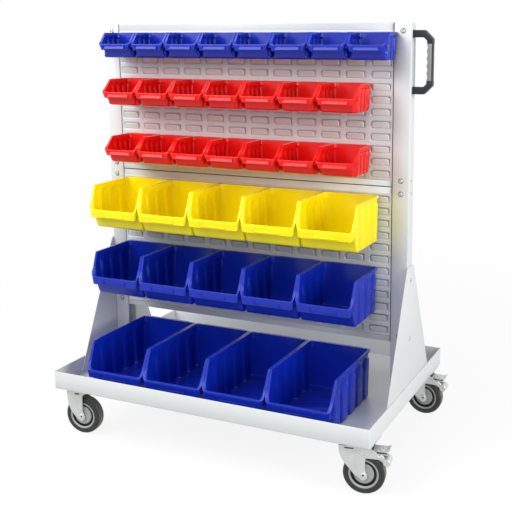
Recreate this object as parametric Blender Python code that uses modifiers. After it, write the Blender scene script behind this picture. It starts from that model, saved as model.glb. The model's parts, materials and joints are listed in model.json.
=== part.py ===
"""Mobile bin cart: louvred panels between two uprights on a castored tray, with hanging storage bins.

Metres, +Z up. The origin is on the floor under the middle of the cart's overall length and depth.
The bins face -Y and the push handle is at the +X end. Each storage bin, panel, upright and caster
piece is its own object. Places are worked out from the tray's middle, and the whole cart then moves
over by half of what its handle adds at one end.
"""
import math

import bmesh
import bpy
from mathutils import Matrix, Vector

# Gaps and joints between pieces
GAP = 0.0003
RUNNING_GAP = 0.0005
CUT_OVERRUN = 0.002
WELD = 0.00003

# Casters, measured from the floor
WHEEL_RADIUS = 0.058
WHEEL_WIDTH = 0.032
WHEEL_SIDE_GAP = 0.0025
WHEEL_FACE_SEGMENTS = 20
HUB_RADIUS = 0.027
HUB_INSET = 0.002
RECESS_DEPTH = 0.007
RING_INNER_RADIUS = 0.035
RING_OUTER_RADIUS = 0.041
TREAD_DROP = 0.004
TREAD_CROWN_WIDTH = 0.020
AXLE_RADIUS = 0.005
AXLE_HEAD_RADIUS = 0.0075
AXLE_HEAD_HEIGHT = 0.003
CASTER_HEIGHT = 0.1505
CASTER_TRAIL = 0.016
TOP_PLATE_LENGTH = 0.098
TOP_PLATE_WIDTH = 0.085
TOP_PLATE_THICKNESS = 0.003
RACEWAY_RADIUS = 0.026
RACEWAY_HEIGHT = 0.010
KINGPIN_RADIUS = 0.006
KINGPIN_HEAD_RADIUS = 0.010
KINGPIN_HEAD_HEIGHT = 0.004
FORK_SHEET = 0.0025
FORK_REAR_REACH = 0.034
FORK_FRONT_REACH = 0.038
FORK_CHEEK_TOE = 0.010
FORK_THROAT_SETBACK = 0.005
FORK_SKIRT = 0.024
FORK_BOSS_DROP = 0.015
ROUND_SEGMENTS = 16

# Rear edge of a fork: shares of the way forward to the toe and of the height above the axle
FORK_EDGE_SHARES = ((0.12, 0.47), (0.36, 0.16), (0.78, -0.08))
BRAKED_FORK_EDGE_SHARES = ((0.05, 0.68), (0.27, 0.39), (0.73, 0.0))

# Brake on the two casters at the handle end
BRAKED_FORK_REAR_REACH = 0.052
BRAKE_ARM_REACH = 0.065
BRAKE_ARM_BOTTOM = 0.106
BRAKE_ARM_TIP_HEIGHT = 0.008
BRAKE_WEB_REACH = 0.032
BRAKE_PIVOT_X = 0.054
BRAKE_PIVOT_Z = 0.1135
BRAKE_PIN_RADIUS = 0.003
BRAKE_BARREL_RADIUS = 0.0062
BRAKE_SIDE_GAP = 0.0007
BRAKE_ROLLER_RADIUS = 0.0105
BRAKE_ROLLER_X = 0.078
BRAKE_ROLLER_Z = 0.0965
PEDAL_SHEET = 0.0025
PEDAL_START_X = 0.042
PEDAL_BEND_X = 0.077
PEDAL_TIP_X = 0.085
PEDAL_TIP_RISE = 0.004
PEDAL_NECK_WIDTH = 0.011
PEDAL_Z = 0.127
ROLLER_END_INSET = 0.001

# Caster places under the tray and their swivel at rest, in degrees
CASTER_END_INSET = 0.0495
CASTER_SIDE_INSET = 0.053
SWIVEL_FRONT_RIGHT = 10.0
SWIVEL_REAR_RIGHT = 0.0
SWIVEL_LEFT = 6.0

# Tray
TRAY_LENGTH = 1.020
TRAY_DEPTH = 0.660
TRAY_RIM = 0.055
TRAY_SHEET = 0.0015

# Uprights and gussets
CART_HEIGHT = 1.2435
UPRIGHT_DEPTH = 0.041
UPRIGHT_FACE_WIDTH = 0.0487
UPRIGHT_SHEET = 0.002
GUSSET_SHEET = 0.002
GUSSET_TOP = 0.5595
GUSSET_TOP_HALF = 0.028
GUSSET_FOOT_HALF = 0.210

# Louvred panels
PANEL_HEIGHT = 0.455
PANEL_SHEET = 0.0012
PANEL_EDGE_LAP = 0.034
LOUVRE_COLUMNS = 12
LOUVRE_ROWS = 12
LOUVRE_WIDTH = 0.053
LOUVRE_HEIGHT = 0.018
LOUVRE_ROW_PITCH = 0.0348
LOUVRE_REACH = 0.007
PANEL_TOP_MARGIN = 0.029

# Push handle on the right-hand upright
HANDLE_TOP_DROP = 0.020
HANDLE_HEIGHT = 0.174
HANDLE_REACH = 0.0566
HANDLE_WIDTH = 0.020
HANDLE_ARM = 0.020
HANDLE_CORNER = 0.0235
HANDLE_INNER_CORNER = 0.009
HANDLE_BAR = 0.0163
HANDLE_STRIP = 0.003
GRIP_END_MARGIN = 0.0365
GRIP_GROOVES = 4
GRIP_GROOVE_DEPTH = 0.003
GRIP_GROOVE_POINTS = 6
GRIP_WIDTH = 0.022

# Storage bins, all kinds
BIN_RIM_THICKNESS = 0.0025
BIN_RIM_OUT = 0.0035
BIN_RIM_DROP = 0.006
BIN_TAPER = 0.0075
BIN_REAR_STANDOFF = 0.0082
BIN_LIP_OUT = 0.005
BIN_REAR_LEAN = 0.009
BIN_SIDE_GAP = 0.0006
BIN_HOOK_SHEET = 0.0020
BIN_HOOK_STANDOFF = 0.0006
BIN_HOOK_DROP = 0.005
BIN_HOOK_WIDTH_SHARE = 0.70

# Kinds of bin: width pitch, depth, height, front height, front band, side top length, lip wrap,
# lean of the front wall, wall
SMALL_SHALLOW = dict(pitch=0.1159, depth=0.109, height=0.075, front=0.041, band=0.018, side=0.074,
                     wrap=0.017, lean=0.020, wall=0.0020)
SMALL_DEEP = dict(pitch=0.1174, depth=0.143, height=0.077, front=0.040, band=0.018, side=0.098,
                  wrap=0.017, lean=0.020, wall=0.0020)
MEDIUM = dict(pitch=0.1724, depth=0.207, height=0.131, front=0.060, band=0.024, side=0.176,
              wrap=0.022, lean=0.032, wall=0.0023)
LARGE = dict(pitch=0.2008, depth=0.311, height=0.143, front=0.065, band=0.024, side=0.268,
             wrap=0.023, lean=0.035, wall=0.0025)

# Where each row of bins starts, from the left edge of the panels' face, and how far a row may overhang
SMALL_ROW_START = 0.0002
RED_ROW_START = 0.0312
YELLOW_ROW_START = 0.0172
BLUE_ROW_START = 0.0132
TRAY_ROW_START = 0.0442
ROW_OVERHANG = 0.020
TRAY_BIN_REAR_Y = 0.007

# Rows of bins: name, kind, colour, start of the row, panel (0 upper, 1 lower), louvre row it hangs on
BIN_ROWS = (
    ("bin_small_blue", SMALL_SHALLOW, "bin_blue", SMALL_ROW_START, 0, 0),
    ("bin_red_upper", SMALL_DEEP, "bin_red", RED_ROW_START, 0, 4),
    ("bin_red_lower", SMALL_DEEP, "bin_red", RED_ROW_START, 0, 9),
    ("bin_yellow", MEDIUM, "bin_yellow", YELLOW_ROW_START, 1, 0),
    ("bin_blue", MEDIUM, "bin_blue", BLUE_ROW_START, 1, 6),
)

# Places that follow from the sizes above
TRAY_BOTTOM = CASTER_HEIGHT
TRAY_FLOOR = TRAY_BOTTOM + TRAY_SHEET
TRAY_INNER_X = TRAY_LENGTH / 2 - TRAY_SHEET
GUSSET_OUTER_X = TRAY_INNER_X - GAP
UPRIGHT_OUTER_X = GUSSET_OUTER_X - GUSSET_SHEET - GAP
UPRIGHT_FRONT_Y = -UPRIGHT_DEPTH / 2
PANEL_FACE_WIDTH = 2 * (UPRIGHT_OUTER_X - UPRIGHT_FACE_WIDTH)
UPRIGHT_FOOT = TRAY_FLOOR + GAP
PANEL_FACE_Y = UPRIGHT_FRONT_Y + UPRIGHT_SHEET + GAP
PANEL_TOPS = (CART_HEIGHT, CART_HEIGHT - PANEL_HEIGHT)
LOUVRE_COLUMN_PITCH = PANEL_FACE_WIDTH / LOUVRE_COLUMNS
LOUVRE_BACK_RISE = PANEL_SHEET * LOUVRE_REACH / LOUVRE_HEIGHT
RIM_SEAT = LOUVRE_BACK_RISE + GAP
FORK_TOP = CASTER_HEIGHT - GAP - TOP_PLATE_THICKNESS - RACEWAY_HEIGHT - GAP
CHEEK_INNER_Y = WHEEL_WIDTH / 2 + WHEEL_SIDE_GAP
CHEEK_OUTER_Y = CHEEK_INNER_Y + FORK_SHEET
HANDLE_END_X = UPRIGHT_OUTER_X + GAP + HANDLE_REACH
ORIGIN_SHIFT = (HANDLE_END_X - TRAY_LENGTH / 2) / 2

# Colour, roughness and metallic value of each finish
FINISHES = {
    "frame_grey": ((0.62, 0.64, 0.63), 0.45, 0.0),
    "bin_blue": ((0.010, 0.025, 0.36), 0.35, 0.0),
    "bin_red": ((0.75, 0.012, 0.010), 0.35, 0.0),
    "bin_yellow": ((0.92, 0.78, 0.010), 0.35, 0.0),
    "handle_black": ((0.035, 0.040, 0.045), 0.50, 0.0),
    "grip_grey": ((0.32, 0.33, 0.33), 0.60, 0.0),
    "caster_zinc": ((0.55, 0.57, 0.56), 0.35, 0.85),
    "wheel_rubber": ((0.030, 0.028, 0.028), 0.70, 0.0),
}


def clear_scene():
    for scene_object in list(bpy.data.objects):
        bpy.data.objects.remove(scene_object, do_unlink=True)


def new_collection(name):
    collection = bpy.data.collections.new(name)
    bpy.context.scene.collection.children.link(collection)
    return collection


def make_materials():
    materials = {}
    for name, (colour, roughness, metallic) in FINISHES.items():
        material = bpy.data.materials.new(name)
        material.use_nodes = True
        shader = material.node_tree.nodes["Principled BSDF"]
        shader.inputs["Base Color"].default_value = (*colour, 1.0)
        shader.inputs["Roughness"].default_value = roughness
        shader.inputs["Metallic"].default_value = metallic
        materials[name] = material
    return materials


clear_scene()
PARTS = new_collection("mobile_bin_cart")
CUTTERS = new_collection("cutters")
MATERIALS = make_materials()


def add_object(name, data, location=(0.0, 0.0, 0.0), parent=None, collection=None):
    scene_object = bpy.data.objects.new(name, data)
    (collection or PARTS).objects.link(scene_object)
    scene_object.location = location
    scene_object.parent = parent
    return scene_object


def as_cutter(scene_object):
    scene_object.hide_render = True
    scene_object.display_type = "WIRE"
    return scene_object


def mesh_from(builder, name):
    bm = bmesh.new()
    builder(bm)
    mesh = bpy.data.meshes.new(name)
    bm.to_mesh(mesh)
    bm.free()
    return mesh


def box_mesh(name, low, high):
    """A box between two opposite corners."""
    low, high = Vector(low), Vector(high)
    size = high - low
    matrix = Matrix.Translation((low + high) / 2) @ Matrix.Diagonal((*size, 1.0))
    return mesh_from(lambda bm: bmesh.ops.create_cube(bm, size=1.0, matrix=matrix), name)


def cylinder_mesh(name, radius, start, end, axis="Z", centre=(0.0, 0.0)):
    """A closed cylinder from start to end along Z, or along Y with its centre given as x and z."""
    middle, length = (start + end) / 2, end - start
    if axis == "Z":
        matrix = Matrix.Translation((centre[0], centre[1], middle))
    else:
        matrix = Matrix.Translation((centre[0], middle, centre[1])) @ Matrix.Rotation(math.pi / 2, 4, "X")
    return mesh_from(lambda bm: bmesh.ops.create_cone(
        bm, cap_ends=True, segments=ROUND_SEGMENTS, radius1=radius, radius2=radius, depth=length,
        matrix=matrix), name)


def outline_mesh(name, points, thickness, upright=True):
    """A flat outline as a closed plate. Upright outlines lie in the XZ plane and are thick along Y."""
    curve = bpy.data.curves.new(name, "CURVE")
    curve.dimensions = "2D"
    curve.fill_mode = "BOTH"
    curve.extrude = thickness / 2
    spline = curve.splines.new("POLY")
    spline.points.add(len(points) - 1)
    for spline_point, (u, v) in zip(spline.points, points):
        spline_point.co = (u, v, 0.0, 1.0)
    spline.use_cyclic_u = True
    holder = add_object(name + "_outline", curve)
    mesh = bpy.data.meshes.new_from_object(holder.evaluated_get(bpy.context.evaluated_depsgraph_get()))
    bpy.data.objects.remove(holder, do_unlink=True)
    bm = bmesh.new()
    bm.from_mesh(mesh)
    bmesh.ops.remove_doubles(bm, verts=bm.verts, dist=WELD)
    bmesh.ops.recalc_face_normals(bm, faces=bm.faces)
    if upright:
        bmesh.ops.rotate(bm, verts=bm.verts, matrix=Matrix.Rotation(math.pi / 2, 3, "X"))
    bm.to_mesh(mesh)
    bm.free()
    return mesh


def combined(name, base, added=(), removed=()):
    """The base mesh with others joined to it, then others cut out of it, as one closed mesh."""
    holder = add_object(name + "_base", base)
    helpers = []
    for operation, meshes in (("UNION", added), ("DIFFERENCE", removed)):
        for mesh in meshes:
            helper = as_cutter(add_object(mesh.name + "_cutter", mesh, collection=CUTTERS))
            modifier = holder.modifiers.new(operation.lower(), "BOOLEAN")
            modifier.operation = operation
            modifier.solver = "EXACT"
            modifier.object = helper
            helpers.append(helper)
    bpy.context.view_layer.update()
    result = bpy.data.meshes.new_from_object(holder.evaluated_get(bpy.context.evaluated_depsgraph_get()))
    result.name = name
    for scene_object in [holder] + helpers:
        bpy.data.objects.remove(scene_object, do_unlink=True)
    return result


def place(name, mesh, finish, location=(0.0, 0.0, 0.0), parent=None):
    """One finished part of the cart."""
    scene_object = add_object(name, mesh, location, parent)
    if not mesh.materials:
        mesh.materials.append(MATERIALS[finish])
    scene_object.material_slots[0].link = "OBJECT"
    scene_object.material_slots[0].material = MATERIALS[finish]
    return scene_object


def round_shading(mesh):
    mesh.shade_smooth()
    mesh.set_sharp_from_angle(angle=math.radians(35))


def loft(bm, sections):
    """Closed skin through rings of points, capped at both ends. Points that coincide are merged."""
    rings = [[bm.verts.new(point) for point in section] for section in sections]
    count = len(sections[0])
    for ring, following in zip(rings, rings[1:]):
        for index in range(count):
            after = (index + 1) % count
            bm.faces.new((ring[index], ring[after], following[after], following[index]))
    bm.faces.new(rings[0][::-1])
    bm.faces.new(rings[-1])
    bmesh.ops.remove_doubles(bm, verts=bm.verts, dist=WELD)
    bmesh.ops.dissolve_degenerate(bm, edges=bm.edges, dist=WELD)
    bmesh.ops.recalc_face_normals(bm, faces=bm.faces)


def mirrored_ring(side_points):
    """A ring from points down the right side, rear to front, and back along the left side."""
    left = [(-x, y, z) for x, y, z in reversed(side_points)]
    return list(side_points) + left


def bin_sections(kind):
    """The bin's skin, from its inside floor over the rim to its underside.

    y is zero at the panel's face and z is zero at the top edge of the louvre that carries the bin.
    """
    half = (kind["pitch"] - BIN_SIDE_GAP) / 2
    wall = kind["wall"]
    top = RIM_SEAT + BIN_RIM_THICKNESS
    bottom = top - kind["height"]
    lip = bottom + kind["front"]
    band = lip - kind["band"]
    rear = -(UPRIGHT_SHEET + GAP + RUNNING_GAP)
    body_rear = -BIN_REAR_STANDOFF
    front = -kind["depth"]
    slope_start = -kind["side"]
    wrap = front + kind["wrap"]

    def side_x(z, inset=0.0):
        return half - BIN_RIM_OUT - BIN_TAPER * (top - z) / kind["height"] - inset

    def front_y(z, inset=0.0):
        return front + BIN_LIP_OUT + kind["lean"] * (lip - z) / kind["front"] + inset

    def rear_y(z, inset=0.0):
        return body_rear - BIN_REAR_LEAN * (top - z) / kind["height"] - inset

    def slope_z(y, drop=0.0):
        return top - drop - (top - lip) * (slope_start - y) / (slope_start - front)

    floor = bottom + wall
    under = top - BIN_RIM_DROP
    low_slope = max(slope_z(wrap, BIN_RIM_DROP), band + wall)

    def row(*points):
        return mirrored_ring(points)

    inner_floor_x = side_x(floor, wall)
    inner_floor_rear = rear_y(floor, wall)
    inner_rear = rear_y(top, wall)
    inner_front = front_y(floor, wall)
    inner_lip = front_y(lip, wall)
    return (
        row((inner_floor_x, inner_floor_rear, floor), (inner_floor_x, inner_floor_rear, floor),
            (inner_floor_x, inner_front, floor), (inner_floor_x, inner_front, floor),
            (inner_floor_x, inner_front, floor)),
        row((side_x(top, wall), inner_rear, top), (side_x(top, wall), slope_start, top),
            (side_x(lip, wall), inner_lip, lip), (side_x(lip, wall), inner_lip, lip),
            (side_x(lip, wall), inner_lip, lip)),
        row((half, rear, top), (half, slope_start, top),
            (half, front, lip), (half, front, lip), (half, front, lip)),
        row((half, rear, RIM_SEAT), (half, slope_start, under),
            (half, wrap, low_slope), (half, wrap, band), (half, front, band)),
        row((side_x(under), body_rear, RIM_SEAT), (side_x(under), slope_start, under),
            (side_x(low_slope), wrap, low_slope), (side_x(band), wrap, band),
            (side_x(band), front_y(band), band)),
        row((side_x(bottom), rear_y(bottom), bottom), (side_x(bottom), rear_y(bottom), bottom),
            (side_x(bottom), front_y(bottom), bottom), (side_x(bottom), front_y(bottom), bottom),
            (side_x(bottom), front_y(bottom), bottom)),
    )


def bin_mesh(name, kind):
    """A tapered open-fronted bin with a hook along its rear rim."""
    shell = mesh_from(lambda bm: loft(bm, bin_sections(kind)), name + "_shell")
    hook_half = kind["pitch"] * BIN_HOOK_WIDTH_SHARE / 2
    top = RIM_SEAT + BIN_RIM_THICKNESS
    hook_rear = -BIN_HOOK_STANDOFF
    hook_front = hook_rear - BIN_HOOK_SHEET
    bridge_front = -(UPRIGHT_SHEET + GAP + RUNNING_GAP) - BIN_RIM_THICKNESS / 2
    hook = outline_points_to_mesh(name + "_hook", (
        (hook_rear, -BIN_HOOK_DROP), (hook_front, -BIN_HOOK_DROP), (hook_front, RIM_SEAT),
        (bridge_front, RIM_SEAT), (bridge_front, top), (hook_rear, top)), hook_half)
    return combined(name, shell, added=[hook])


def outline_points_to_mesh(name, points, half_width):
    """A YZ outline made thick along X, as far to each side as half_width."""
    mesh = outline_mesh(name, points, 2 * half_width)
    mesh.transform(Matrix.Rotation(math.pi / 2, 4, "Z"))
    return mesh


def row_places(kind, start):
    """The middle of each bin in a row that fills the panels' face from the left."""
    count = int((PANEL_FACE_WIDTH + ROW_OVERHANG) / kind["pitch"])
    left = start - PANEL_FACE_WIDTH / 2
    return [left + (index + 0.5) * kind["pitch"] for index in range(count)]


def build_bins():
    for base_name, kind, finish, start, panel, louvre_row in BIN_ROWS:
        mesh = bin_mesh(base_name, kind)
        z = PANEL_TOPS[panel] - PANEL_TOP_MARGIN - louvre_row * LOUVRE_ROW_PITCH
        for index, x in enumerate(row_places(kind, start)):
            place(f"{base_name}_{index + 1}", mesh, finish, (x, PANEL_FACE_Y, z))
    mesh = bin_mesh("bin_large_blue", LARGE)
    z = TRAY_FLOOR + GAP + LARGE["height"] - RIM_SEAT - BIN_RIM_THICKNESS
    for index, x in enumerate(row_places(LARGE, TRAY_ROW_START)):
        place(f"bin_large_blue_{index + 1}", mesh, "bin_blue", (x, TRAY_BIN_REAR_Y, z))


def louvre_lines(start, pitch, size, count, low_end, high_end):
    """Grid lines: an outer end, then both edges of each louvre, then the other outer end."""
    lines = [low_end]
    for index in range(count):
        middle = start + index * pitch
        lines += [middle - size / 2, middle + size / 2]
    return lines + [high_end]


def panel_surface(bm):
    """One louvred sheet as an open surface: every louvre is a tongue cut free on three sides."""
    half = PANEL_FACE_WIDTH / 2 + PANEL_EDGE_LAP
    first_x = -(LOUVRE_COLUMNS - 1) * LOUVRE_COLUMN_PITCH / 2
    xs = louvre_lines(first_x, LOUVRE_COLUMN_PITCH, LOUVRE_WIDTH, LOUVRE_COLUMNS, -half, half)
    last_z = -PANEL_TOP_MARGIN - LOUVRE_HEIGHT / 2 - (LOUVRE_ROWS - 1) * LOUVRE_ROW_PITCH
    zs = louvre_lines(last_z, LOUVRE_ROW_PITCH, LOUVRE_HEIGHT, LOUVRE_ROWS, GAP - PANEL_HEIGHT, 0.0)
    columns, rows = len(xs) - 1, len(zs) - 1
    bmesh.ops.create_grid(bm, x_segments=columns, y_segments=rows, size=0.5)
    for vert in bm.verts:
        column = round((vert.co.x + 0.5) * columns)
        row = round((vert.co.y + 0.5) * rows)
        vert.co = (xs[column], 0.0, zs[row])
    tongues = [face for face in bm.faces if is_louvre(face, xs, zs)]
    cuts = {edge for face in tongues for edge in face.edges
            if edge is not min(face.edges, key=lambda edge: sum(vert.co.z for vert in edge.verts))}
    bmesh.ops.split_edges(bm, edges=list(cuts))
    for face in tongues:
        highest = max(vert.co.z for vert in face.verts)
        for vert in face.verts:
            if vert.co.z > highest - LOUVRE_HEIGHT / 2:
                vert.co.y = -LOUVRE_REACH


def is_louvre(face, xs, zs):
    centre = face.calc_center_median()
    column = sum(1 for x in xs if x < centre.x) - 1
    row = sum(1 for z in zs if z < centre.z) - 1
    return column % 2 == 1 and row % 2 == 1


def build_panels():
    mesh = mesh_from(panel_surface, "louvred_panel")
    for name, top in zip(("panel_upper", "panel_lower"), PANEL_TOPS):
        panel = place(name, mesh, "frame_grey", (0.0, PANEL_FACE_Y, top))
        sheet = panel.modifiers.new("sheet", "SOLIDIFY")
        sheet.thickness = PANEL_SHEET
        sheet.offset = -1.0
        sheet.use_even_offset = True


def build_back():
    """A plain sheet behind the rear flanges that closes the back of both louvred panels."""
    half = PANEL_FACE_WIDTH / 2 + PANEL_EDGE_LAP
    rear = -PANEL_FACE_Y
    bottom = CART_HEIGHT - 2 * PANEL_HEIGHT + GAP
    sheet = box_mesh("panel_rear", (-half, rear - PANEL_SHEET, bottom), (half, rear, CART_HEIGHT))
    place("panel_rear", sheet, "frame_grey")


def tray_surface(bm):
    low = Vector((-TRAY_LENGTH / 2, -TRAY_DEPTH / 2, TRAY_BOTTOM))
    high = Vector((TRAY_LENGTH / 2, TRAY_DEPTH / 2, TRAY_BOTTOM + TRAY_RIM))
    matrix = Matrix.Translation((low + high) / 2) @ Matrix.Diagonal((*(high - low), 1.0))
    bmesh.ops.create_cube(bm, size=1.0, matrix=matrix)
    lids = [face for face in bm.faces if face.normal.z > 0.5]
    bmesh.ops.delete(bm, geom=lids, context="FACES_ONLY")


def build_tray():
    tray = place("base_tray", mesh_from(tray_surface, "base_tray"), "frame_grey")
    sheet = tray.modifiers.new("sheet", "SOLIDIFY")
    sheet.thickness = TRAY_SHEET
    sheet.offset = -1.0
    sheet.use_even_offset = True


def build_uprights():
    """C-section posts, open towards the middle of the cart."""
    outer = UPRIGHT_OUTER_X
    inner = PANEL_FACE_WIDTH / 2
    half = UPRIGHT_DEPTH / 2
    web = outer - UPRIGHT_SHEET
    middle_z = (UPRIGHT_FOOT + CART_HEIGHT) / 2
    for name, side in (("upright_left", -1), ("upright_right", 1)):
        section = [(inner, -half), (outer, -half), (outer, half), (inner, half),
                   (inner, half - UPRIGHT_SHEET), (web, half - UPRIGHT_SHEET),
                   (web, UPRIGHT_SHEET - half), (inner, UPRIGHT_SHEET - half)]
        points = [(side * x, y) for x, y in section]
        mesh = outline_mesh(name, points, CART_HEIGHT - UPRIGHT_FOOT, upright=False)
        place(name, mesh, "frame_grey", (0.0, 0.0, middle_z))


def build_gussets():
    """Tapered side plates that tie each upright to the tray's end rim."""
    height = GUSSET_TOP - UPRIGHT_FOOT
    points = ((-GUSSET_FOOT_HALF, 0.0), (GUSSET_FOOT_HALF, 0.0), (GUSSET_TOP_HALF, height),
              (-GUSSET_TOP_HALF, height))
    x = GUSSET_OUTER_X - GUSSET_SHEET / 2
    mesh = outline_points_to_mesh("gusset", points, GUSSET_SHEET / 2)
    place("gusset_left", mesh, "frame_grey", (-x, 0.0, UPRIGHT_FOOT))
    place("gusset_right", mesh, "frame_grey", (x, 0.0, UPRIGHT_FOOT))


def handle_outline():
    """The handle body seen from the front: two arms, cut corners and a thin outer strip."""
    reach, height, arm, corner = HANDLE_REACH, HANDLE_HEIGHT, HANDLE_ARM, HANDLE_CORNER
    bar_inner = reach - HANDLE_BAR
    strip_inner = reach - HANDLE_STRIP
    inner_corner = HANDLE_INNER_CORNER
    upper = [(0.0, height), (reach - corner, height), (reach, height - corner)]
    lower = [(reach, corner), (reach - corner, 0.0), (0.0, 0.0)]
    inside = [(0.0, arm), (bar_inner - inner_corner, arm), (bar_inner, GRIP_END_MARGIN),
              (strip_inner, GRIP_END_MARGIN), (strip_inner, height - GRIP_END_MARGIN),
              (bar_inner, height - GRIP_END_MARGIN), (bar_inner - inner_corner, height - arm),
              (0.0, height - arm)]
    return upper + lower + inside


def grip_outline():
    """The grip insert seen from the front, with finger grooves along its inner edge."""
    low = GRIP_END_MARGIN + GAP
    high = HANDLE_HEIGHT - GRIP_END_MARGIN - GAP
    outer = HANDLE_REACH - HANDLE_STRIP - GAP
    inner = HANDLE_REACH - HANDLE_BAR
    points = [(outer, low), (outer, high)]
    steps = GRIP_GROOVES * GRIP_GROOVE_POINTS
    for step in range(steps + 1):
        share = step / steps
        groove = GRIP_GROOVE_DEPTH * abs(math.sin(math.pi * share * GRIP_GROOVES))
        points.append((inner + GRIP_GROOVE_DEPTH - groove, high + (low - high) * share))
    return points


def build_handle():
    foot = UPRIGHT_OUTER_X + GAP
    bottom = CART_HEIGHT - HANDLE_TOP_DROP - HANDLE_HEIGHT
    body = outline_mesh("handle_body", handle_outline(), HANDLE_WIDTH)
    grip = outline_mesh("handle_grip", grip_outline(), GRIP_WIDTH)
    place("handle_body", body, "handle_black", (foot, 0.0, bottom))
    place("handle_grip", grip, "grip_grey", (foot, 0.0, bottom))


def wheel_mesh():
    """Tyre, rim ring, recess and hub turned about the axle, which lies along Y."""
    half = WHEEL_WIDTH / 2
    hub = half - HUB_INSET
    recess = half - RECESS_DEPTH
    bore = AXLE_RADIUS + GAP
    crown = TREAD_CROWN_WIDTH / 2
    side = [(WHEEL_RADIUS, crown), (WHEEL_RADIUS - TREAD_DROP, half), (RING_OUTER_RADIUS, half),
            (RING_INNER_RADIUS, hub), (RING_INNER_RADIUS, recess), (HUB_RADIUS, recess),
            (HUB_RADIUS, hub), (bore, hub)]
    profile = [(radius, -height) for radius, height in side] + [
        (radius, height) for radius, height in reversed(side)]

    def section(bm):
        verts = [bm.verts.new((radius, 0.0, height)) for radius, height in profile]
        for vert, following in zip(verts, verts[1:] + verts[:1]):
            bm.edges.new((following, vert))

    holder = add_object("wheel_profile", mesh_from(section, "wheel_profile"))
    turn = holder.modifiers.new("turn", "SCREW")
    turn.axis = "Z"
    turn.angle = 2 * math.pi
    turn.steps = WHEEL_FACE_SEGMENTS
    turn.render_steps = WHEEL_FACE_SEGMENTS
    turn.use_merge_vertices = True
    turn.merge_threshold = WELD
    turn.use_normal_calculate = True
    mesh = bpy.data.meshes.new_from_object(holder.evaluated_get(bpy.context.evaluated_depsgraph_get()))
    bpy.data.objects.remove(holder, do_unlink=True)
    mesh.transform(Matrix.Rotation(math.pi / 2, 4, "X"))
    mesh.name = "wheel"
    round_shading(mesh)
    return mesh


def top_plate_mesh():
    """Mounting plate with its raceway ring and the kingpin that carries the fork."""
    top = CASTER_HEIGHT - GAP
    under = top - TOP_PLATE_THICKNESS
    raceway_end = under - RACEWAY_HEIGHT
    head_top = FORK_TOP - FORK_SHEET - GAP
    half_length, half_width = TOP_PLATE_LENGTH / 2, TOP_PLATE_WIDTH / 2
    plate = box_mesh("plate", (-half_length, -half_width, under), (half_length, half_width, top))
    raceway = cylinder_mesh("raceway", RACEWAY_RADIUS, raceway_end, under + TOP_PLATE_THICKNESS / 2)
    pin = cylinder_mesh("kingpin", KINGPIN_RADIUS, head_top - KINGPIN_HEAD_HEIGHT / 2, under)
    head = cylinder_mesh("kingpin_head", KINGPIN_HEAD_RADIUS, head_top - KINGPIN_HEAD_HEIGHT, head_top)
    return combined("caster_top_plate", plate, added=[raceway, pin, head])


def fork_outline(braked):
    """The fork seen from the side. x is zero at the kingpin and z at the floor."""
    axle_x, axle_z = CASTER_TRAIL, WHEEL_RADIUS
    top = FORK_TOP
    rear = -BRAKED_FORK_REAR_REACH if braked else -FORK_REAR_REACH
    right = axle_x + FORK_CHEEK_TOE
    way = Vector((axle_x - FORK_CHEEK_TOE - rear, top - axle_z))
    shares = BRAKED_FORK_EDGE_SHARES if braked else FORK_EDGE_SHARES
    points = [(rear, top)]
    points += [(rear + way.x * along, axle_z + way.y * above) for along, above in shares]
    points += [(axle_x - FORK_CHEEK_TOE / 2, axle_z - FORK_BOSS_DROP),
               (right - FORK_CHEEK_TOE / 2, axle_z - FORK_BOSS_DROP),
               (right, axle_z - FORK_BOSS_DROP / 2), (right, axle_z)]
    throat = right - FORK_THROAT_SETBACK
    points += [(throat, axle_z + FORK_BOSS_DROP)]
    if braked:
        points += [(throat, BRAKE_ARM_BOTTOM), (BRAKE_ARM_REACH, BRAKE_ARM_BOTTOM),
                   (BRAKE_ARM_REACH, BRAKE_ARM_BOTTOM + BRAKE_ARM_TIP_HEIGHT), (BRAKE_WEB_REACH, top)]
    else:
        points += [(throat, top - FORK_SKIRT / 2), (FORK_FRONT_REACH + FORK_CHEEK_TOE / 2, top)]
    return points


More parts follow.
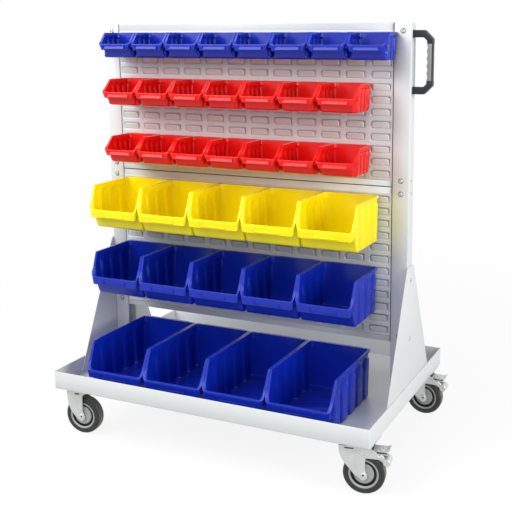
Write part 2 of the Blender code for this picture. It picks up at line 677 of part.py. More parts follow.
def fork_mesh(braked):
    """Pressed fork with its axle bolt, and on a braked caster the pin that carries the pedal."""
    body = outline_mesh("fork_body", fork_outline(braked), 2 * CHEEK_OUTER_Y)
    web_under = FORK_TOP - FORK_SHEET
    slot_left = -BRAKED_FORK_REAR_REACH - CUT_OVERRUN
    slot_right = BRAKE_ARM_REACH + CUT_OVERRUN
    slot = box_mesh("wheel_slot", (slot_left, -CHEEK_INNER_Y, -CUT_OVERRUN),
                    (slot_right, CHEEK_INNER_Y, web_under))
    hole = cylinder_mesh("kingpin_hole", KINGPIN_RADIUS + GAP, web_under - CUT_OVERRUN,
                         FORK_TOP + CUT_OVERRUN)
    cuts = [slot, hole]
    if braked:
        cuts.append(box_mesh("arm_slot", (BRAKE_WEB_REACH, -CHEEK_INNER_Y, -CUT_OVERRUN),
                             (slot_right, CHEEK_INNER_Y, FORK_TOP + CUT_OVERRUN)))
    channel = combined("fork_channel", body, removed=cuts)
    reach = CHEEK_OUTER_Y + AXLE_HEAD_HEIGHT
    axle_centre = (CASTER_TRAIL, WHEEL_RADIUS)
    added = [cylinder_mesh("axle", AXLE_RADIUS, -reach, reach, "Y", axle_centre)]
    for name, side in (("axle_head", -1), ("axle_nut", 1)):
        ends = sorted((side * (CHEEK_OUTER_Y - FORK_SHEET / 2), side * reach))
        added.append(cylinder_mesh(name, AXLE_HEAD_RADIUS, ends[0], ends[1], "Y", axle_centre))
    if braked:
        added.append(cylinder_mesh("pedal_pin", BRAKE_PIN_RADIUS, -CHEEK_OUTER_Y - FORK_SHEET / 2,
                                   CHEEK_OUTER_Y + FORK_SHEET / 2, "Y", (BRAKE_PIVOT_X, BRAKE_PIVOT_Z)))
    mesh = combined("fork_braked" if braked else "fork", channel, added=added)
    round_shading(mesh)
    return mesh


def pedal_mesh():
    """Brake pedal with its hinge barrel and the roller that presses the tyre, about its hinge."""
    half = CHEEK_INNER_Y - BRAKE_SIDE_GAP
    top = PEDAL_Z + PEDAL_SHEET
    neck = PEDAL_NECK_WIDTH / 2
    plate = outline_mesh("pedal_plate", (
        (PEDAL_START_X, PEDAL_Z), (PEDAL_BEND_X, PEDAL_Z),
        (PEDAL_TIP_X, PEDAL_Z + PEDAL_TIP_RISE), (PEDAL_TIP_X, top + PEDAL_TIP_RISE),
        (PEDAL_BEND_X, top), (PEDAL_START_X, top)), 2 * half)
    hanger_top = PEDAL_Z + PEDAL_SHEET / 2
    end = half - ROLLER_END_INSET
    hanger = outline_mesh("pedal_hanger", (
        (BRAKE_PIVOT_X - neck, hanger_top), (BRAKE_PIVOT_X - neck, BRAKE_PIVOT_Z),
        (BRAKE_ROLLER_X - neck, BRAKE_ROLLER_Z), (BRAKE_ROLLER_X + neck / 2, BRAKE_ROLLER_Z + neck),
        (BRAKE_PIVOT_X + neck, BRAKE_PIVOT_Z + neck), (BRAKE_PIVOT_X + neck, hanger_top)),
        2 * (end - ROLLER_END_INSET))
    pivot = (BRAKE_PIVOT_X, BRAKE_PIVOT_Z)
    roller_centre = (BRAKE_ROLLER_X, BRAKE_ROLLER_Z)
    roller = cylinder_mesh("brake_roller", BRAKE_ROLLER_RADIUS, -end, end, "Y", roller_centre)
    barrel = cylinder_mesh("hinge_barrel", BRAKE_BARREL_RADIUS, -end, end, "Y", pivot)
    bore = cylinder_mesh("hinge_bore", BRAKE_PIN_RADIUS + GAP, -half - CUT_OVERRUN, half + CUT_OVERRUN,
                         "Y", pivot)
    mesh = combined("brake_pedal", plate, added=[hanger, roller, barrel], removed=[bore])
    mesh.transform(Matrix.Translation((-BRAKE_PIVOT_X, 0.0, -BRAKE_PIVOT_Z)))
    round_shading(mesh)
    return mesh


def build_casters():
    plate, wheel, pedal = top_plate_mesh(), wheel_mesh(), pedal_mesh()
    forks = {braked: fork_mesh(braked) for braked in (False, True)}
    x = TRAY_LENGTH / 2 - CASTER_END_INSET
    y = TRAY_DEPTH / 2 - CASTER_SIDE_INSET
    corners = (("front_left", -x, -y, SWIVEL_LEFT, False), ("rear_left", -x, y, SWIVEL_LEFT, False),
               ("front_right", x, -y, SWIVEL_FRONT_RIGHT, True), ("rear_right", x, y, SWIVEL_REAR_RIGHT, True))
    for corner, corner_x, corner_y, degrees, braked in corners:
        place(f"caster_plate_{corner}", plate, "caster_zinc", (corner_x, corner_y, 0.0))
        kingpin = add_object(f"kingpin_axis_{corner}", None, (corner_x, corner_y, 0.0))
        kingpin.rotation_euler.z = math.radians(degrees)
        place(f"caster_fork_{corner}", forks[braked], "caster_zinc", parent=kingpin)
        place(f"caster_wheel_{corner}", wheel, "wheel_rubber", (CASTER_TRAIL, 0.0, WHEEL_RADIUS), kingpin)
        if braked:
            place(f"brake_pedal_{corner}", pedal, "caster_zinc", (BRAKE_PIVOT_X, 0.0, BRAKE_PIVOT_Z), kingpin)


def centre_over_origin():
    """Moves every piece over so that the origin lies under the middle of the overall length."""
    for scene_object in PARTS.objects:
        if scene_object.parent is None:
            scene_object.location.x -= ORIGIN_SHIFT


build_tray()
build_uprights()
build_gussets()
build_panels()
build_back()
build_handle()
build_casters()
build_bins()
centre_over_origin()
bpy.context.view_layer.update()
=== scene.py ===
"""Dresses a castored bin cart: folded sheet frame, louvred panels, moulded storage bins and swivel casters.

Run it in Blender as a script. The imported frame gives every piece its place, and each operator below
models one group of pieces around it. Lengths are in metres.
"""
import json
import math

import bmesh
import bpy
from bpy.props import FloatProperty, FloatVectorProperty, IntProperty, PointerProperty
from mathutils import Matrix, Vector


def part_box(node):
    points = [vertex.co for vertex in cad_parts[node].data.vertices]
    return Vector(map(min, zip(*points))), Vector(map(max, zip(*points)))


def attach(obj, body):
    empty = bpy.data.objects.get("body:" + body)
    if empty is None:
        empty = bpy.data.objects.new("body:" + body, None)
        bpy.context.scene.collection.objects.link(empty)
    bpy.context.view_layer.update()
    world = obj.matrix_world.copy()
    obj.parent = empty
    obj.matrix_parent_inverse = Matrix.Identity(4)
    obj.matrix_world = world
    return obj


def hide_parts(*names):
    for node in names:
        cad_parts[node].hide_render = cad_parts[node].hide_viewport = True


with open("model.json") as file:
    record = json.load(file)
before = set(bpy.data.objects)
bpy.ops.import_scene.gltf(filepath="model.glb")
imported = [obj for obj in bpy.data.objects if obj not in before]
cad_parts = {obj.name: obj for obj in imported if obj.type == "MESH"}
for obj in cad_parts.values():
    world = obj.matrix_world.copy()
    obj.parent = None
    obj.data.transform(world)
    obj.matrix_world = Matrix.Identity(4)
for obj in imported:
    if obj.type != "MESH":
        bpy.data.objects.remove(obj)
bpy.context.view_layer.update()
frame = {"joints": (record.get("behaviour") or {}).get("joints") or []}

bl_info = {
    "name": "Mobile bin cart",
    "version": (1, 0, 0),
    "blender": (4, 5, 0),
    "location": "View3D > Sidebar > Bin Cart",
    "description": "Models the sheet metal, bins and casters of a mobile bin cart on its packed frame",
    "category": "Add Mesh",
}

CORNERS = ("front_left", "rear_left", "front_right", "rear_right")
TINY = 0.00001

# Angles in degrees above which an edge stays sharp
SHEET_CREASE = 32.0
MOULDED_CREASE = 40.0
PEDAL_CREASE = 35.0
WHEEL_CREASE = 28.0

# Rounds along the edges of sheets, plates and thin raised parts
CUT_EDGE = 0.0003
SHEET_EDGE = 0.0004
PLATE_EDGE = 0.0005

# Steps round a ball race, a roller or washer, a bolt, a sleeve or hole, a screw or pin, and a hexagon
RACE_STEPS = 48
ROLLER_STEPS = 28
BOLT_STEPS = 24
SLEEVE_STEPS = 20
SCREW_STEPS = 16
HEXAGON = 6

# Storage bins, small and big: depth of the band along the lip, how far it wraps round the corner, lean of
# the front wall, the wall, the recesses' drop below the rim and clearance below the sloping rim, the plan's
# corner radius at the top and at the foot, how far the band lies behind the label frame and narrows
# downward, the label frame's share of the width, and whether a tilted plate lies in it. Each kind adds the
# height of its front, the length of the level rim from the hook, and the recesses of a side: their middles
# from the rear corner, half width, soft edge, and depth at the top and at the foot.
SMALL_BIN = dict(band=0.018, wrap=0.017, lean=0.020, wall=0.0020, drop=0.011, clear=0.006, corner=0.006,
                 foot_corner=0.005, band_back=0.0030, band_taper=0.11, label_share=0.66, label_plate=True)
BIG_BIN = dict(band=0.024, drop=0.014, depth=0.0031, corner=0.008, foot_corner=0.006, band_back=0.0016,
               band_taper=0.03, label_plate=False)
BIN_KINDS = {
    "small_shallow": dict(SMALL_BIN, front=0.041, level=0.074, recesses=(0.0080, 0.0320, 0.0560),
                          half=0.0094, edge=0.0028, depth=0.0030, foot_depth=0.0076),
    "small_deep": dict(SMALL_BIN, front=0.040, level=0.098, recesses=(0.0060, 0.0320, 0.0580, 0.0840),
                       half=0.0102, edge=0.0030, depth=0.0031, foot_depth=0.0078),
    "medium": dict(BIG_BIN, front=0.060, level=0.176, recesses=(0.0120, 0.0600, 0.1090, 0.1560),
                   half=0.0190, edge=0.0046, foot_depth=0.0098, wrap=0.022, lean=0.032, wall=0.0023,
                   clear=0.009, label_share=0.46),
    "large": dict(BIG_BIN, front=0.065, level=0.268, recesses=(0.0160, 0.0720, 0.1290, 0.1860, 0.2430),
                  half=0.0218, edge=0.0050, foot_depth=0.0100, wrap=0.023, lean=0.035, wall=0.0025,
                  clear=0.010, label_share=0.48),
}
BIN_ROWS = (("bin_small_blue", 8, "small_shallow", "bin_blue"),
            ("bin_red_upper", 7, "small_deep", "bin_red"),
            ("bin_red_lower", 7, "small_deep", "bin_red"),
            ("bin_yellow", 5, "medium", "bin_yellow"),
            ("bin_blue", 5, "medium", "bin_blue"),
            ("bin_large_blue", 4, "large", "bin_blue"))

# All bins: where the body, the rim and the hook end behind, the rounded edge of the rim, the curve of the
# front wall's lean, the fade of a recess, the band's lean and lower corner, and the rim's skirt behind
BODY_STANDOFF = 0.0076
RIM_STANDOFF = 0.0022
HOOK_STANDOFF = 0.0006
RIM_EDGE = 0.0012
FRONT_CURVE_SHARE = 0.75
RECESS_FADE = 0.006
BAND_LEAN_SHARE = 0.05
BAND_CORNER = 0.008
REAR_SKIRT = 0.004

# Upright lines of vertices on a bin: the longest and the least stretch between two, the stretch in which
# they are drawn together at a leaning end, how near they lie to the slope's start and to the band's end,
# the inner one of a recess, and those of the rear, of the front and of the corners, in degrees
LONGEST_STEP = 0.012
LEAST_STEP = 0.0005
DRAWN_IN = 0.014
SLOPE_CREASE = 0.002
WRAP_CREASE = 0.0015
RECESS_INNER = 0.6
REAR_SHARES = (0.0, 0.34, 0.67, 1.0)
REAR_ANGLES = (60, 30)
FRONT_ANGLES = (-22, -45, -68)
FRONT_SHARES = (1.0, 0.8, 0.5, 0.0)

# Levels of vertices on a bin: up the rounded foot in degrees, up the wall below the recesses' arch, out
# over the rim with the drop as a share of its rounded edge, and down the skirt
FOOT_ANGLES = (0, 30, 60)
WALL_SHARES = (0.2, 0.4, 0.6, 0.8)
RIM_SHARES = ((0.5, 0.0), (0.88, 0.15), (1.0, 1.0))
SKIRT_SHARES = (0.35, 0.7, 0.94, 1.0)

# A bin's hook and label frame
HOOK_SHARE = 0.70
HOOK_DROP = 0.0082
HOOK_SHEET = 0.0020
LABEL_LINE = 0.0018
LABEL_TOP_SHARE = 0.22
LABEL_FOOT_SHARE = 0.78
LABEL_PLATE_EDGE = 0.0002

# Push handle: height of an arm, the bevelled corners outside and inside, the bar, the strip behind the
# grip, the rounding in its plane, where it meets another piece and along its edges, and the grip's waves
HANDLE_ARM = 0.020
HANDLE_CORNER = 0.0235
HANDLE_INNER_CORNER = 0.009
HANDLE_BAR = 0.0163
HANDLE_STRIP = 0.003
HANDLE_SOFT = 0.006
HANDLE_TIGHT = 0.001
HANDLE_EDGE = 0.0042
STRIP_EDGE_SHARE = 0.45
GRIP_WAVES = 5
GRIP_WAVE_STEPS = 12
GRIP_WAVE_DEPTH = 0.0022
GRIP_EDGE = 0.0030

# Dark plates of painted shadow in the gaps between the sheets, and the fold along a panel's edge
SEAM_SHADOW_HEIGHT = 0.0022
EDGE_SHADOW_WIDTH = 0.0030
SHADOW_PLATE = 0.0002
PANEL_FOLD = 0.0022
FOLD_SHARES = ((0.0, 1.0), (0.12, 0.55), (0.42, 0.16), (1.0, 0.0))

# Louvres: steps round a corner of the cut, rings of sheet round it, steps across and up a louvre, the
# radius at its foot and its straight side as shares, how far its ends fall back, and the straight and the
# curved part of its rise
CUT_STEPS = 4
SHEET_RINGS = (0.0, 0.4, 1.0)
LOUVRE_ACROSS = 12
LOUVRE_UP = 6
LOUVRE_FOOT_SHARE = 0.8
LOUVRE_SIDE_SHARE = 1 / 3
LOUVRE_BOW = 0.25
LOUVRE_STRAIGHT = 0.2
LOUVRE_CURVED = 0.8

# Rear sheet's ribs, and the gusset plates' corners
RIB_SHARES = (0.25, 0.75)
RIB_HALF = 0.012
RIB_MARGIN = 0.030
RIB_RELIEF = 0.0009
RIB_EDGE_SHARE = 0.8
GUSSET_TOP_ROUND = 0.010
GUSSET_FOOT_ROUND = 0.001

# Fasteners: radius and height of each kind of head, a head's profile as shares of both, and the thin ring
# of shadow that it stands on
FLANGE_SCREW = (0.0064, 0.0034)
WEB_SCREW = (0.0034, 0.0016)
END_BOLT = (0.0052, 0.0017)
RIM_BOLT = (0.0048, 0.0011)
HEAD_PROFILE = ((0.0, 0.30), (0.34, 0.30), (0.40, 0.94), (0.60, 1.0), (0.86, 0.72), (1.0, 0.24), (1.0, 0.0),
                (0.0, 0.0))
HEAD_RING_SHARE = 1.18
HEAD_RING_SHEET = 0.00015

# Where they are: screws from the panels' top, seam and foot, gusset bolts above the tray's rim, rim bolts
# along the tray's end and below its edge
SCREW_FROM_TOP = 0.022
SCREW_FROM_SEAM = 0.0185
SCREW_FROM_FOOT = 0.020
GUSSET_BOLT_Y = 0.003
GUSSET_BOLT_RISES = (0.313, 0.137)
RIM_BOLTS = ((-0.145, 0.029), (0.011, 0.038), (0.152, 0.028))

# The lower panel's small hole, drawn as a thin dark disc of painted shadow: place from its right-hand end
# and top, radius, profile as shares and heights
HOLE_FROM_END = 0.128
HOLE_FROM_TOP = 0.178
HOLE_RADIUS = 0.0042
HOLE_PROFILE = ((0.0, 0.0001), (0.8, 0.0001), (0.9, 0.0004), (1.0, 0.0003), (1.0, 0.0), (0.0, 0.0))

# Caster plate: sheet, corner radius, the bolts' inset, and as radius and height from its underside the
# bolt's head, the two-part ball race and the kingpin's root. The nut's heights are from its lower face.
CASTER_PLATE_SHEET = 0.003
CASTER_PLATE_CORNER = 0.006
CASTER_BOLT_INSET = 0.011
CASTER_BOLT = ((0.0, -0.0042), (0.0048, -0.0042), (0.0058, -0.0034), (0.0058, 0.0002), (0.0, 0.0002))
BALL_RACE = ((0.0, 0.0005), (0.0252, 0.0005), (0.0260, -0.0010), (0.0260, -0.0034), (0.0248, -0.0042),
             (0.0248, -0.0050), (0.0258, -0.0060), (0.0258, -0.0090), (0.0250, -0.0100), (0.0200, -0.0100),
             (0.0, -0.0100))
KINGPIN_ROOT = (0.006, -0.005)
KINGPIN_NUT = ((0.0100, 0.0040), (0.0100, 0.0008), (0.0094, 0.0))

# Wheel, as radius and depth from its side face: inner edge of the tyre, the bright ring, the recess painted
# dark as its shade, and the hub. The tyre's shoulder is measured in from the tread, and the tread has a low
# crown.
TYRE_INNER = ((0.0412, 0.0006), (0.0425, 0.0))
TYRE_SHOULDER = ((0.0065, 0.0), (0.0045, 0.0006), (0.0028, 0.0022), (0.0012, 0.0042))
TREAD_CROWN = 0.0100
TREAD_FALL = 0.0003
WHEEL_RING = ((0.0414, 0.0014), (0.0410, 0.0003), (0.0398, 0.0), (0.0376, 0.0002), (0.0362, 0.0012),
              (0.0355, 0.0030))
SHADED_WHEEL_DISH = ((0.0355, 0.0030), (0.0350, 0.0078), (0.0290, 0.0078), (0.0284, 0.0060))
WHEEL_HUB = ((0.0284, 0.0060), (0.0278, 0.0034), (0.0262, 0.0022), (0.0115, 0.0020), (0.0105, 0.0012),
             (0.0056, 0.0012))

# Fork, from the kingpin and the floor. The edge shares run from the rear end towards the axle, and the
# corner radii belong to the points in their order.
CHEEK_INNER = 0.0185
CHEEK_SHEET = 0.0025
CHEEK_EDGE = 0.0009
TOE = 0.010
BOSS_DROP = 0.015
THROAT = 0.005
CROWN_CORNER = 0.003
NECK_CORNER = 0.016
BOSS_CORNER = 0.008
TOE_CORNER = 0.006
PLAIN_REAR = 0.034
PLAIN_FRONT = 0.043
PLAIN_SKIRT = 0.012
PLAIN_EDGE_SHARES = ((0.12, 0.47), (0.36, 0.16), (0.78, -0.08))
PLAIN_CORNERS = (0.008, 0.002)
BRAKED_REAR = 0.052
ARM_REACH = 0.065
ARM_BOTTOM = 0.106
ARM_TIP = 0.114
WEB_REACH = 0.032
WEB_INSET = 0.0005
WEB_SHARE = 0.6
WEB_EDGE = 0.0006
BRAKED_EDGE_SHARES = ((0.05, 0.68), (0.27, 0.39), (0.73, 0.0))
BRAKED_CORNERS = (0.005, 0.002, 0.004, 0.008)

# Raised forms of a cheek, and its slots drawn as thin dark plates of painted shadow: low and high corners,
# relief, corner radii, and how deep they are set in
PLAIN_FLANGE = ((0.0165, 0.0740), (0.0205, 0.1300))
BRAKED_SWAGE = ((-0.008, 0.072), (0.0140, 0.128))
FLANGE_RELIEF = 0.0024
SWAGE_RELIEF = 0.0007
SWAGE_CORNER = 0.001
PLAIN_SLOT_SHADOW = ((-0.005, 0.1265), (0.0115, 0.1310))
BRAKED_SLOT_SHADOW = ((-0.036, 0.1290), (-0.010, 0.1325))
SLOT_CORNER = 0.002
SLOT_SHADOW_SHEET = 0.0004
SLOT_EDGE = 0.0001
SET_IN = 0.0002

# Axle, as radius and height from the cheek: the pin, the washer, the head or nut with the recess at its
# centre painted dark as shade
AXLE_PIN = 0.005
AXLE_WASHER = ((0.0, 0.0004), (0.0090, 0.0004), (0.0095, 0.0001), (0.0095, -0.0004), (0.0, -0.0004))
AXLE_HEAD = ((0.0, 0.0014), (0.0026, 0.0014), (0.0031, 0.0026), (0.0056, 0.0026), (0.0068, 0.0016),
             (0.0068, 0.0), (0.0, 0.0))
AXLE_SHADED_CENTRE = ((0.0, 0.0016), (0.0026, 0.0016), (0.0026, 0.0013), (0.0, 0.0013))

# Brake pedal, from the kingpin and the floor: its hinge, roller, straps, bent plate and grip ridges
PIVOT = (0.054, 0.1135)
PIVOT_RADIUS = 0.0060
PIVOT_PIN = 0.003
PIVOT_RIVET = ((0.0, 0.0012), (0.0026, 0.0010), (0.0036, 0.0), (0.0, 0.0))
PIN_RADIUS = 0.0034
ROLLER = (0.078, 0.0965)
ROLLER_END = ((0.0, 0.0008), (0.0030, 0.0008), (0.0034, 0.0), (0.0092, 0.0), (0.0105, 0.0014))
STRAP_Y = 0.0150
STRAP_SHEET = 0.0013
STRAP_ROUND_SHARE = 0.98
PEDAL_HALF = 0.0178
PEDAL_SHEET = 0.0022
PEDAL_BEND = 0.002
PEDAL_STEPS = 6
PEDAL_TOP = ((0.042, 0.1292), (0.077, 0.1292, 0.008), (0.085, 0.1333))
PEDAL_RETURN = ((0.0790, 0.1280), (0.0830, 0.1240, 0.003), (0.0800, 0.1190, 0.003), (0.0520, 0.1180))
RIDGES = (0.050, 0.058, 0.066)
RIDGE_WIDTH = 0.0030
RIDGE_SHARE = 0.66
RIDGE_HEIGHTS = (0.1288, 0.1301)

# Stage: lamps with their place, the point that they face and their size; the floor's colour by bounced
# light and as seen, where its plain white begins and is full, and its half width
LAMPS = (("top", (-1.75, -1.6, 2.8), (-0.1, -0.2, 0.6), 2.6),
         ("front", (0.4, -2.7, 2.3), (0.0, 0.0, 1.0), 1.8),
         ("side", (3.4, -0.7, 1.5), (0.2, 0.0, 0.8), 1.8))
WHITE = (1.0, 1.0, 1.0, 1.0)
FLOOR_BOUNCE = 0.42
FLOOR_SEEN = 0.92
FLOOR_ROUGHNESS = 0.9
FLOOR_FADE = (1.0, 3.0)
FLOOR_HALF = 14.0
SENSOR_WIDTH = 36.0
CLIP_END = 60.0

# Colours and gloss of the small parts: the near-black painted shadow put in gaps, slots, a hole and
# recesses, and the bright screws
PAINTED_SHADOW_COLOUR = (0.012, 0.014, 0.014)
SCREW_COLOUR = (0.500, 0.520, 0.500)
SCREW_METALLIC = 0.90


def number_setting(name, description, default, **kind):
    return FloatProperty(name=name, description=description, default=default, **kind)


def length_setting(name, description, default):
    return number_setting(name, description, default, unit="LENGTH")


def share_setting(name, description, default):
    return number_setting(name, description, default, subtype="FACTOR")


def colour_setting(name, description, default):
    return FloatVectorProperty(name=name, description=description, default=default, subtype="COLOR",
                               min=0.0, max=1.0)


class BinSettings(bpy.types.PropertyGroup):
    rim_out: length_setting("Rim width", "How far the rim stands out of the wall", 0.0035)
    lip_out: length_setting("Lip width", "How far the front lip stands out of the front wall", 0.005)
    taper: length_setting("Side draft", "How much narrower each side is at the floor", 0.0075)
    rear_lean: length_setting("Rear lean", "How far the rear wall's foot stands forward", 0.009)
    skirt: length_setting("Rim skirt", "Height of the turned-down rim along the sides", 0.006)
    foot_round: length_setting("Foot radius", "Radius where the walls meet the floor", 0.005)
    blue: colour_setting("Blue", "Colour of the blue bins", (0.004, 0.022, 0.400))
    red: colour_setting("Red", "Colour of the red bins", (0.780, 0.006, 0.004))
    yellow: colour_setting("Yellow", "Colour of the yellow bins", (0.950, 0.800, 0.002))
    roughness: share_setting("Roughness", "Roughness of the moulded plastic", 0.22)


class SheetSettings(bpy.types.PropertyGroup):
    colour: colour_setting("Paint", "Colour of the powder coat", (0.660, 0.682, 0.684))
    bend: length_setting("Bend radius", "Outside radius of the folded sheet", 0.003)
    upright_sheet: length_setting("Upright sheet", "Sheet thickness of the uprights", 0.002)
    tray_sheet: length_setting("Tray sheet", "Sheet thickness of the tray", 0.0015)
    panel_sheet: length_setting("Panel sheet", "Sheet thickness of the panels", 0.0012)
    gusset_top: length_setting("Gusset top", "Width of a gusset plate at its top", 0.056)


class LouvreSettings(bpy.types.PropertyGroup):
    columns: IntProperty(name="Columns", description="Louvres in a row", default=12)
    rows: IntProperty(name="Rows", description="Rows of louvres in a panel", default=12)
    column_pitch: length_setting("Column pitch", "Spacing of the columns", 0.0762)
    row_pitch: length_setting("Row pitch", "Spacing of the rows", 0.0348)
    top_margin: length_setting("Top margin", "From the panel's top to the first louvre's edge", 0.029)
    width: length_setting("Louvre width", "Width of one louvre", 0.053)
    height: length_setting("Louvre height", "Height of one louvre", 0.018)
    reach: length_setting("Louvre reach", "How far the louvre's edge stands out", 0.0046)
    side_slot: length_setting("Side slot", "Width of the cut beside a louvre", 0.0014)
    top_slot: length_setting("Top slot", "Height of the cut above a louvre", 0.0003)
    corner: length_setting("Corner radius", "Radius of the louvre's upper corners", 0.005)


class HandleSettings(bpy.types.PropertyGroup):
    body: colour_setting("Handle", "Colour of the push handle", (0.012, 0.015, 0.017))
    grip: colour_setting("Grip", "Colour of the handle's grip", (0.260, 0.275, 0.272))
    body_roughness: share_setting("Handle roughness", "Roughness of the push handle", 0.34)
    grip_roughness: share_setting("Grip roughness", "Roughness of the grip", 0.36)


class CasterSettings(bpy.types.PropertyGroup):
    wheel_radius: length_setting("Wheel radius", "Radius of the tread", 0.058)
    wheel_width: length_setting("Wheel width", "Width of the wheel", 0.032)
    trail: length_setting("Trail", "From the kingpin to the axle", 0.016)
    segments: IntProperty(name="Segments", description="Steps round a wheel", default=72)
    zinc: colour_setting("Zinc", "Colour of the plated steel", (0.640, 0.660, 0.645))
    tyre: colour_setting("Tyre", "Colour of the tyre's side", (0.020, 0.018, 0.018))
    # The tread is painted lighter than the tyre's side as a painted sheen, the bright floor reflected in it
    tread: colour_setting("Tread", "Colour of the rolled tread", (0.125, 0.120, 0.098))
    core: colour_setting("Wheel centre", "Colour of the wheel centre", (0.400, 0.415, 0.415))


class StageSettings(bpy.types.PropertyGroup):
    lens: number_setting("Focal length", "Camera focal length in millimetres", 60.89)
    place: FloatVectorProperty(name="Camera place", description="Camera from the tray's right front corner",
                               subtype="XYZ", unit="LENGTH", default=(0.7265, -1.9673, 1.1965))
    angles: FloatVectorProperty(name="Yaw, pitch, roll", description="Camera angles in degrees",
                                subtype="XYZ", default=(23.2351, 9.4661, 0.0582))
    shift: FloatVectorProperty(name="Shift", description="Lens shift that frames the cart", size=2,
                               default=(-0.14, -0.14))
    room: number_setting("World light", "Strength of the even light from all round", 0.48)
    top: number_setting("Top lamp", "Power of the lamp high at the front left", 92.0)
    front: number_setting("Front lamp", "Power of the lamp before the cart", 24.0)
    side: number_setting("Side lamp", "Power of the lamp at the handle end", 76.0)
    floor_white: share_setting("Floor white", "Share of plain white in the floor's look", 0.86)


def with_inputs(node, values):
    """The node, with these values on its sockets."""
    for socket, value in values.items():
        node.inputs[socket].default_value = value
    return node


def node_material(name):
    material = bpy.data.materials.new(name)
    material.use_nodes = True
    return material, material.node_tree, material.node_tree.nodes["Principled BSDF"]


def noise(tree, scale, detail=3.0, roughness=0.55, stretch=None):
    """A noise texture on the piece's own coordinates."""
    source = tree.nodes.new("ShaderNodeTexCoord").outputs["Object"]
    texture = with_inputs(tree.nodes.new("ShaderNodeTexNoise"),
                          {"Scale": scale, "Detail": detail, "Roughness": roughness})
    if stretch:
        mapping = with_inputs(tree.nodes.new("ShaderNodeMapping"), {"Scale": stretch})
        tree.links.new(source, mapping.inputs["Vector"])
        source = mapping.outputs["Vector"]
    tree.links.new(source, texture.inputs["Vector"])
    return texture.outputs["Fac"]


def spread(tree, source, low, high, start=0.3, end=0.7):
    """A value that runs from low to high as the pattern does."""
    ramp = with_inputs(tree.nodes.new("ShaderNodeMapRange"),
                       {"From Min": start, "From Max": end, "To Min": low, "To Max": high})
    tree.links.new(source, ramp.inputs["Value"])
    return ramp.outputs["Result"]


def shaded_colour(tree, colour, pattern, amount):
    """The colour, lighter and darker by a small amount with the pattern."""
    mix = tree.nodes.new("ShaderNodeMix")
    mix.data_type = "RGBA"
    dark = [c * (1.0 - amount) for c in colour]
    light = [min(1.0, c * (1.0 + amount)) for c in colour]
    with_inputs(mix, {"A": (*dark, 1.0), "B": (*light, 1.0)})
    tree.links.new(pattern, mix.inputs["Factor"])
    return mix.outputs["Result"]


def patterned(name, colour, tint, tone, grain, gloss, relief, gloss_follows="grain"):
    """A finish whose tone follows one noise and whose bump follows another. Its gloss follows either."""
    material, tree, shader = node_material(name)
    patterns = {"tone": noise(tree, **tone), "grain": noise(tree, **grain)}
    share = spread(tree, patterns["tone"], 0.0, 1.0)
    tree.links.new(shaded_colour(tree, colour, share, tint), shader.inputs["Base Color"])
    tree.links.new(spread(tree, patterns[gloss_follows], *gloss), shader.inputs["Roughness"])
    strength, distance = relief
    bump = with_inputs(tree.nodes.new("ShaderNodeBump"), {"Strength": strength, "Distance": distance})
    tree.links.new(patterns["grain"], bump.inputs["Height"])
    tree.links.new(bump.outputs["Normal"], shader.inputs["Normal"])
    return shader


def powder_coat(name, colour):
    """Baked powder coat: fine orange peel, with faint wide changes of tone and gloss."""
    patterned(name, colour, tint=0.018, tone=dict(scale=2.2, detail=2.0),
              grain=dict(scale=620.0, detail=2.0), gloss=(0.34, 0.46), relief=(0.10, 0.0004))


def moulded_plastic(name, colour, roughness, tint=0.06):
    """Injection-moulded plastic: fine spark texture, faint flow marks along the walls."""
    shader = patterned(name, colour, tint, grain=dict(scale=900.0, detail=2.0),
                       tone=dict(scale=9.0, detail=3.0, roughness=0.6, stretch=(1.0, 1.0, 0.35)),
                       gloss=(roughness - 0.05, roughness + 0.07), relief=(0.06, 0.0002))
    with_inputs(shader, {"IOR": 1.40})


def zinc_plate(name, colour, metallic=0.50):
    """Bright zinc on pressed steel: soft cloudy gloss and fine rolling lines."""
    shader = patterned(name, colour, tint=0.07, tone=dict(scale=42.0, detail=4.0, roughness=0.6),
                       grain=dict(scale=160.0, detail=2.0, roughness=0.5, stretch=(1.0, 1.0, 0.06)),
                       gloss=(0.28, 0.44), relief=(0.05, 0.0003), gloss_follows="tone")
    with_inputs(shader, {"Metallic": metallic})


def rubber(name, colour):
    """Matt tyre rubber with fine scuffs round the tread."""
    patterned(name, colour, tint=0.25, tone=dict(scale=75.0, detail=5.0, roughness=0.65),
              grain=dict(scale=700.0, detail=2.0), gloss=(0.38, 0.56), relief=(0.12, 0.0003),
              gloss_follows="tone")


def finishes():
    """All finishes of the cart, made once and then found by name."""
    if "frame_paint" not in bpy.data.materials:
        cart = bpy.context.scene.bin_cart
        powder_coat("frame_paint", cart.sheet.colour)
        for name in ("blue", "red", "yellow"):
            moulded_plastic("plastic_" + name, getattr(cart.bins, name), cart.bins.roughness)
        moulded_plastic("handle_plastic", cart.handle.body, cart.handle.body_roughness, tint=0.10)
        moulded_plastic("grip_plastic", cart.handle.grip, cart.handle.grip_roughness)
        moulded_plastic("wheel_plastic", cart.casters.core, roughness=0.36)
        # Near-black finish painted where only shade falls: in gaps, slots, the panel's hole, under screw
        # heads and in the wheel's recess
        moulded_plastic("shadow_gap", PAINTED_SHADOW_COLOUR, roughness=0.55)
        zinc_plate("zinc", cart.casters.zinc)
        zinc_plate("screw_steel", SCREW_COLOUR, SCREW_METALLIC)
        rubber("tyre_rubber", cart.casters.tyre)
        # The tread's rubber is painted lighter than the side's, a painted sheen
        rubber("tread_rubber", cart.casters.tread)
    return bpy.data.materials


def mesh_of(bm, name, angle=SHEET_CREASE):
    """The finished bmesh as a mesh with smooth faces and sharp creases."""
    mesh = bpy.data.meshes.new(name)
    bm.to_mesh(mesh)
    bm.free()
    mesh.shade_smooth()
    mesh.set_sharp_from_angle(angle=math.radians(angle))
    return mesh


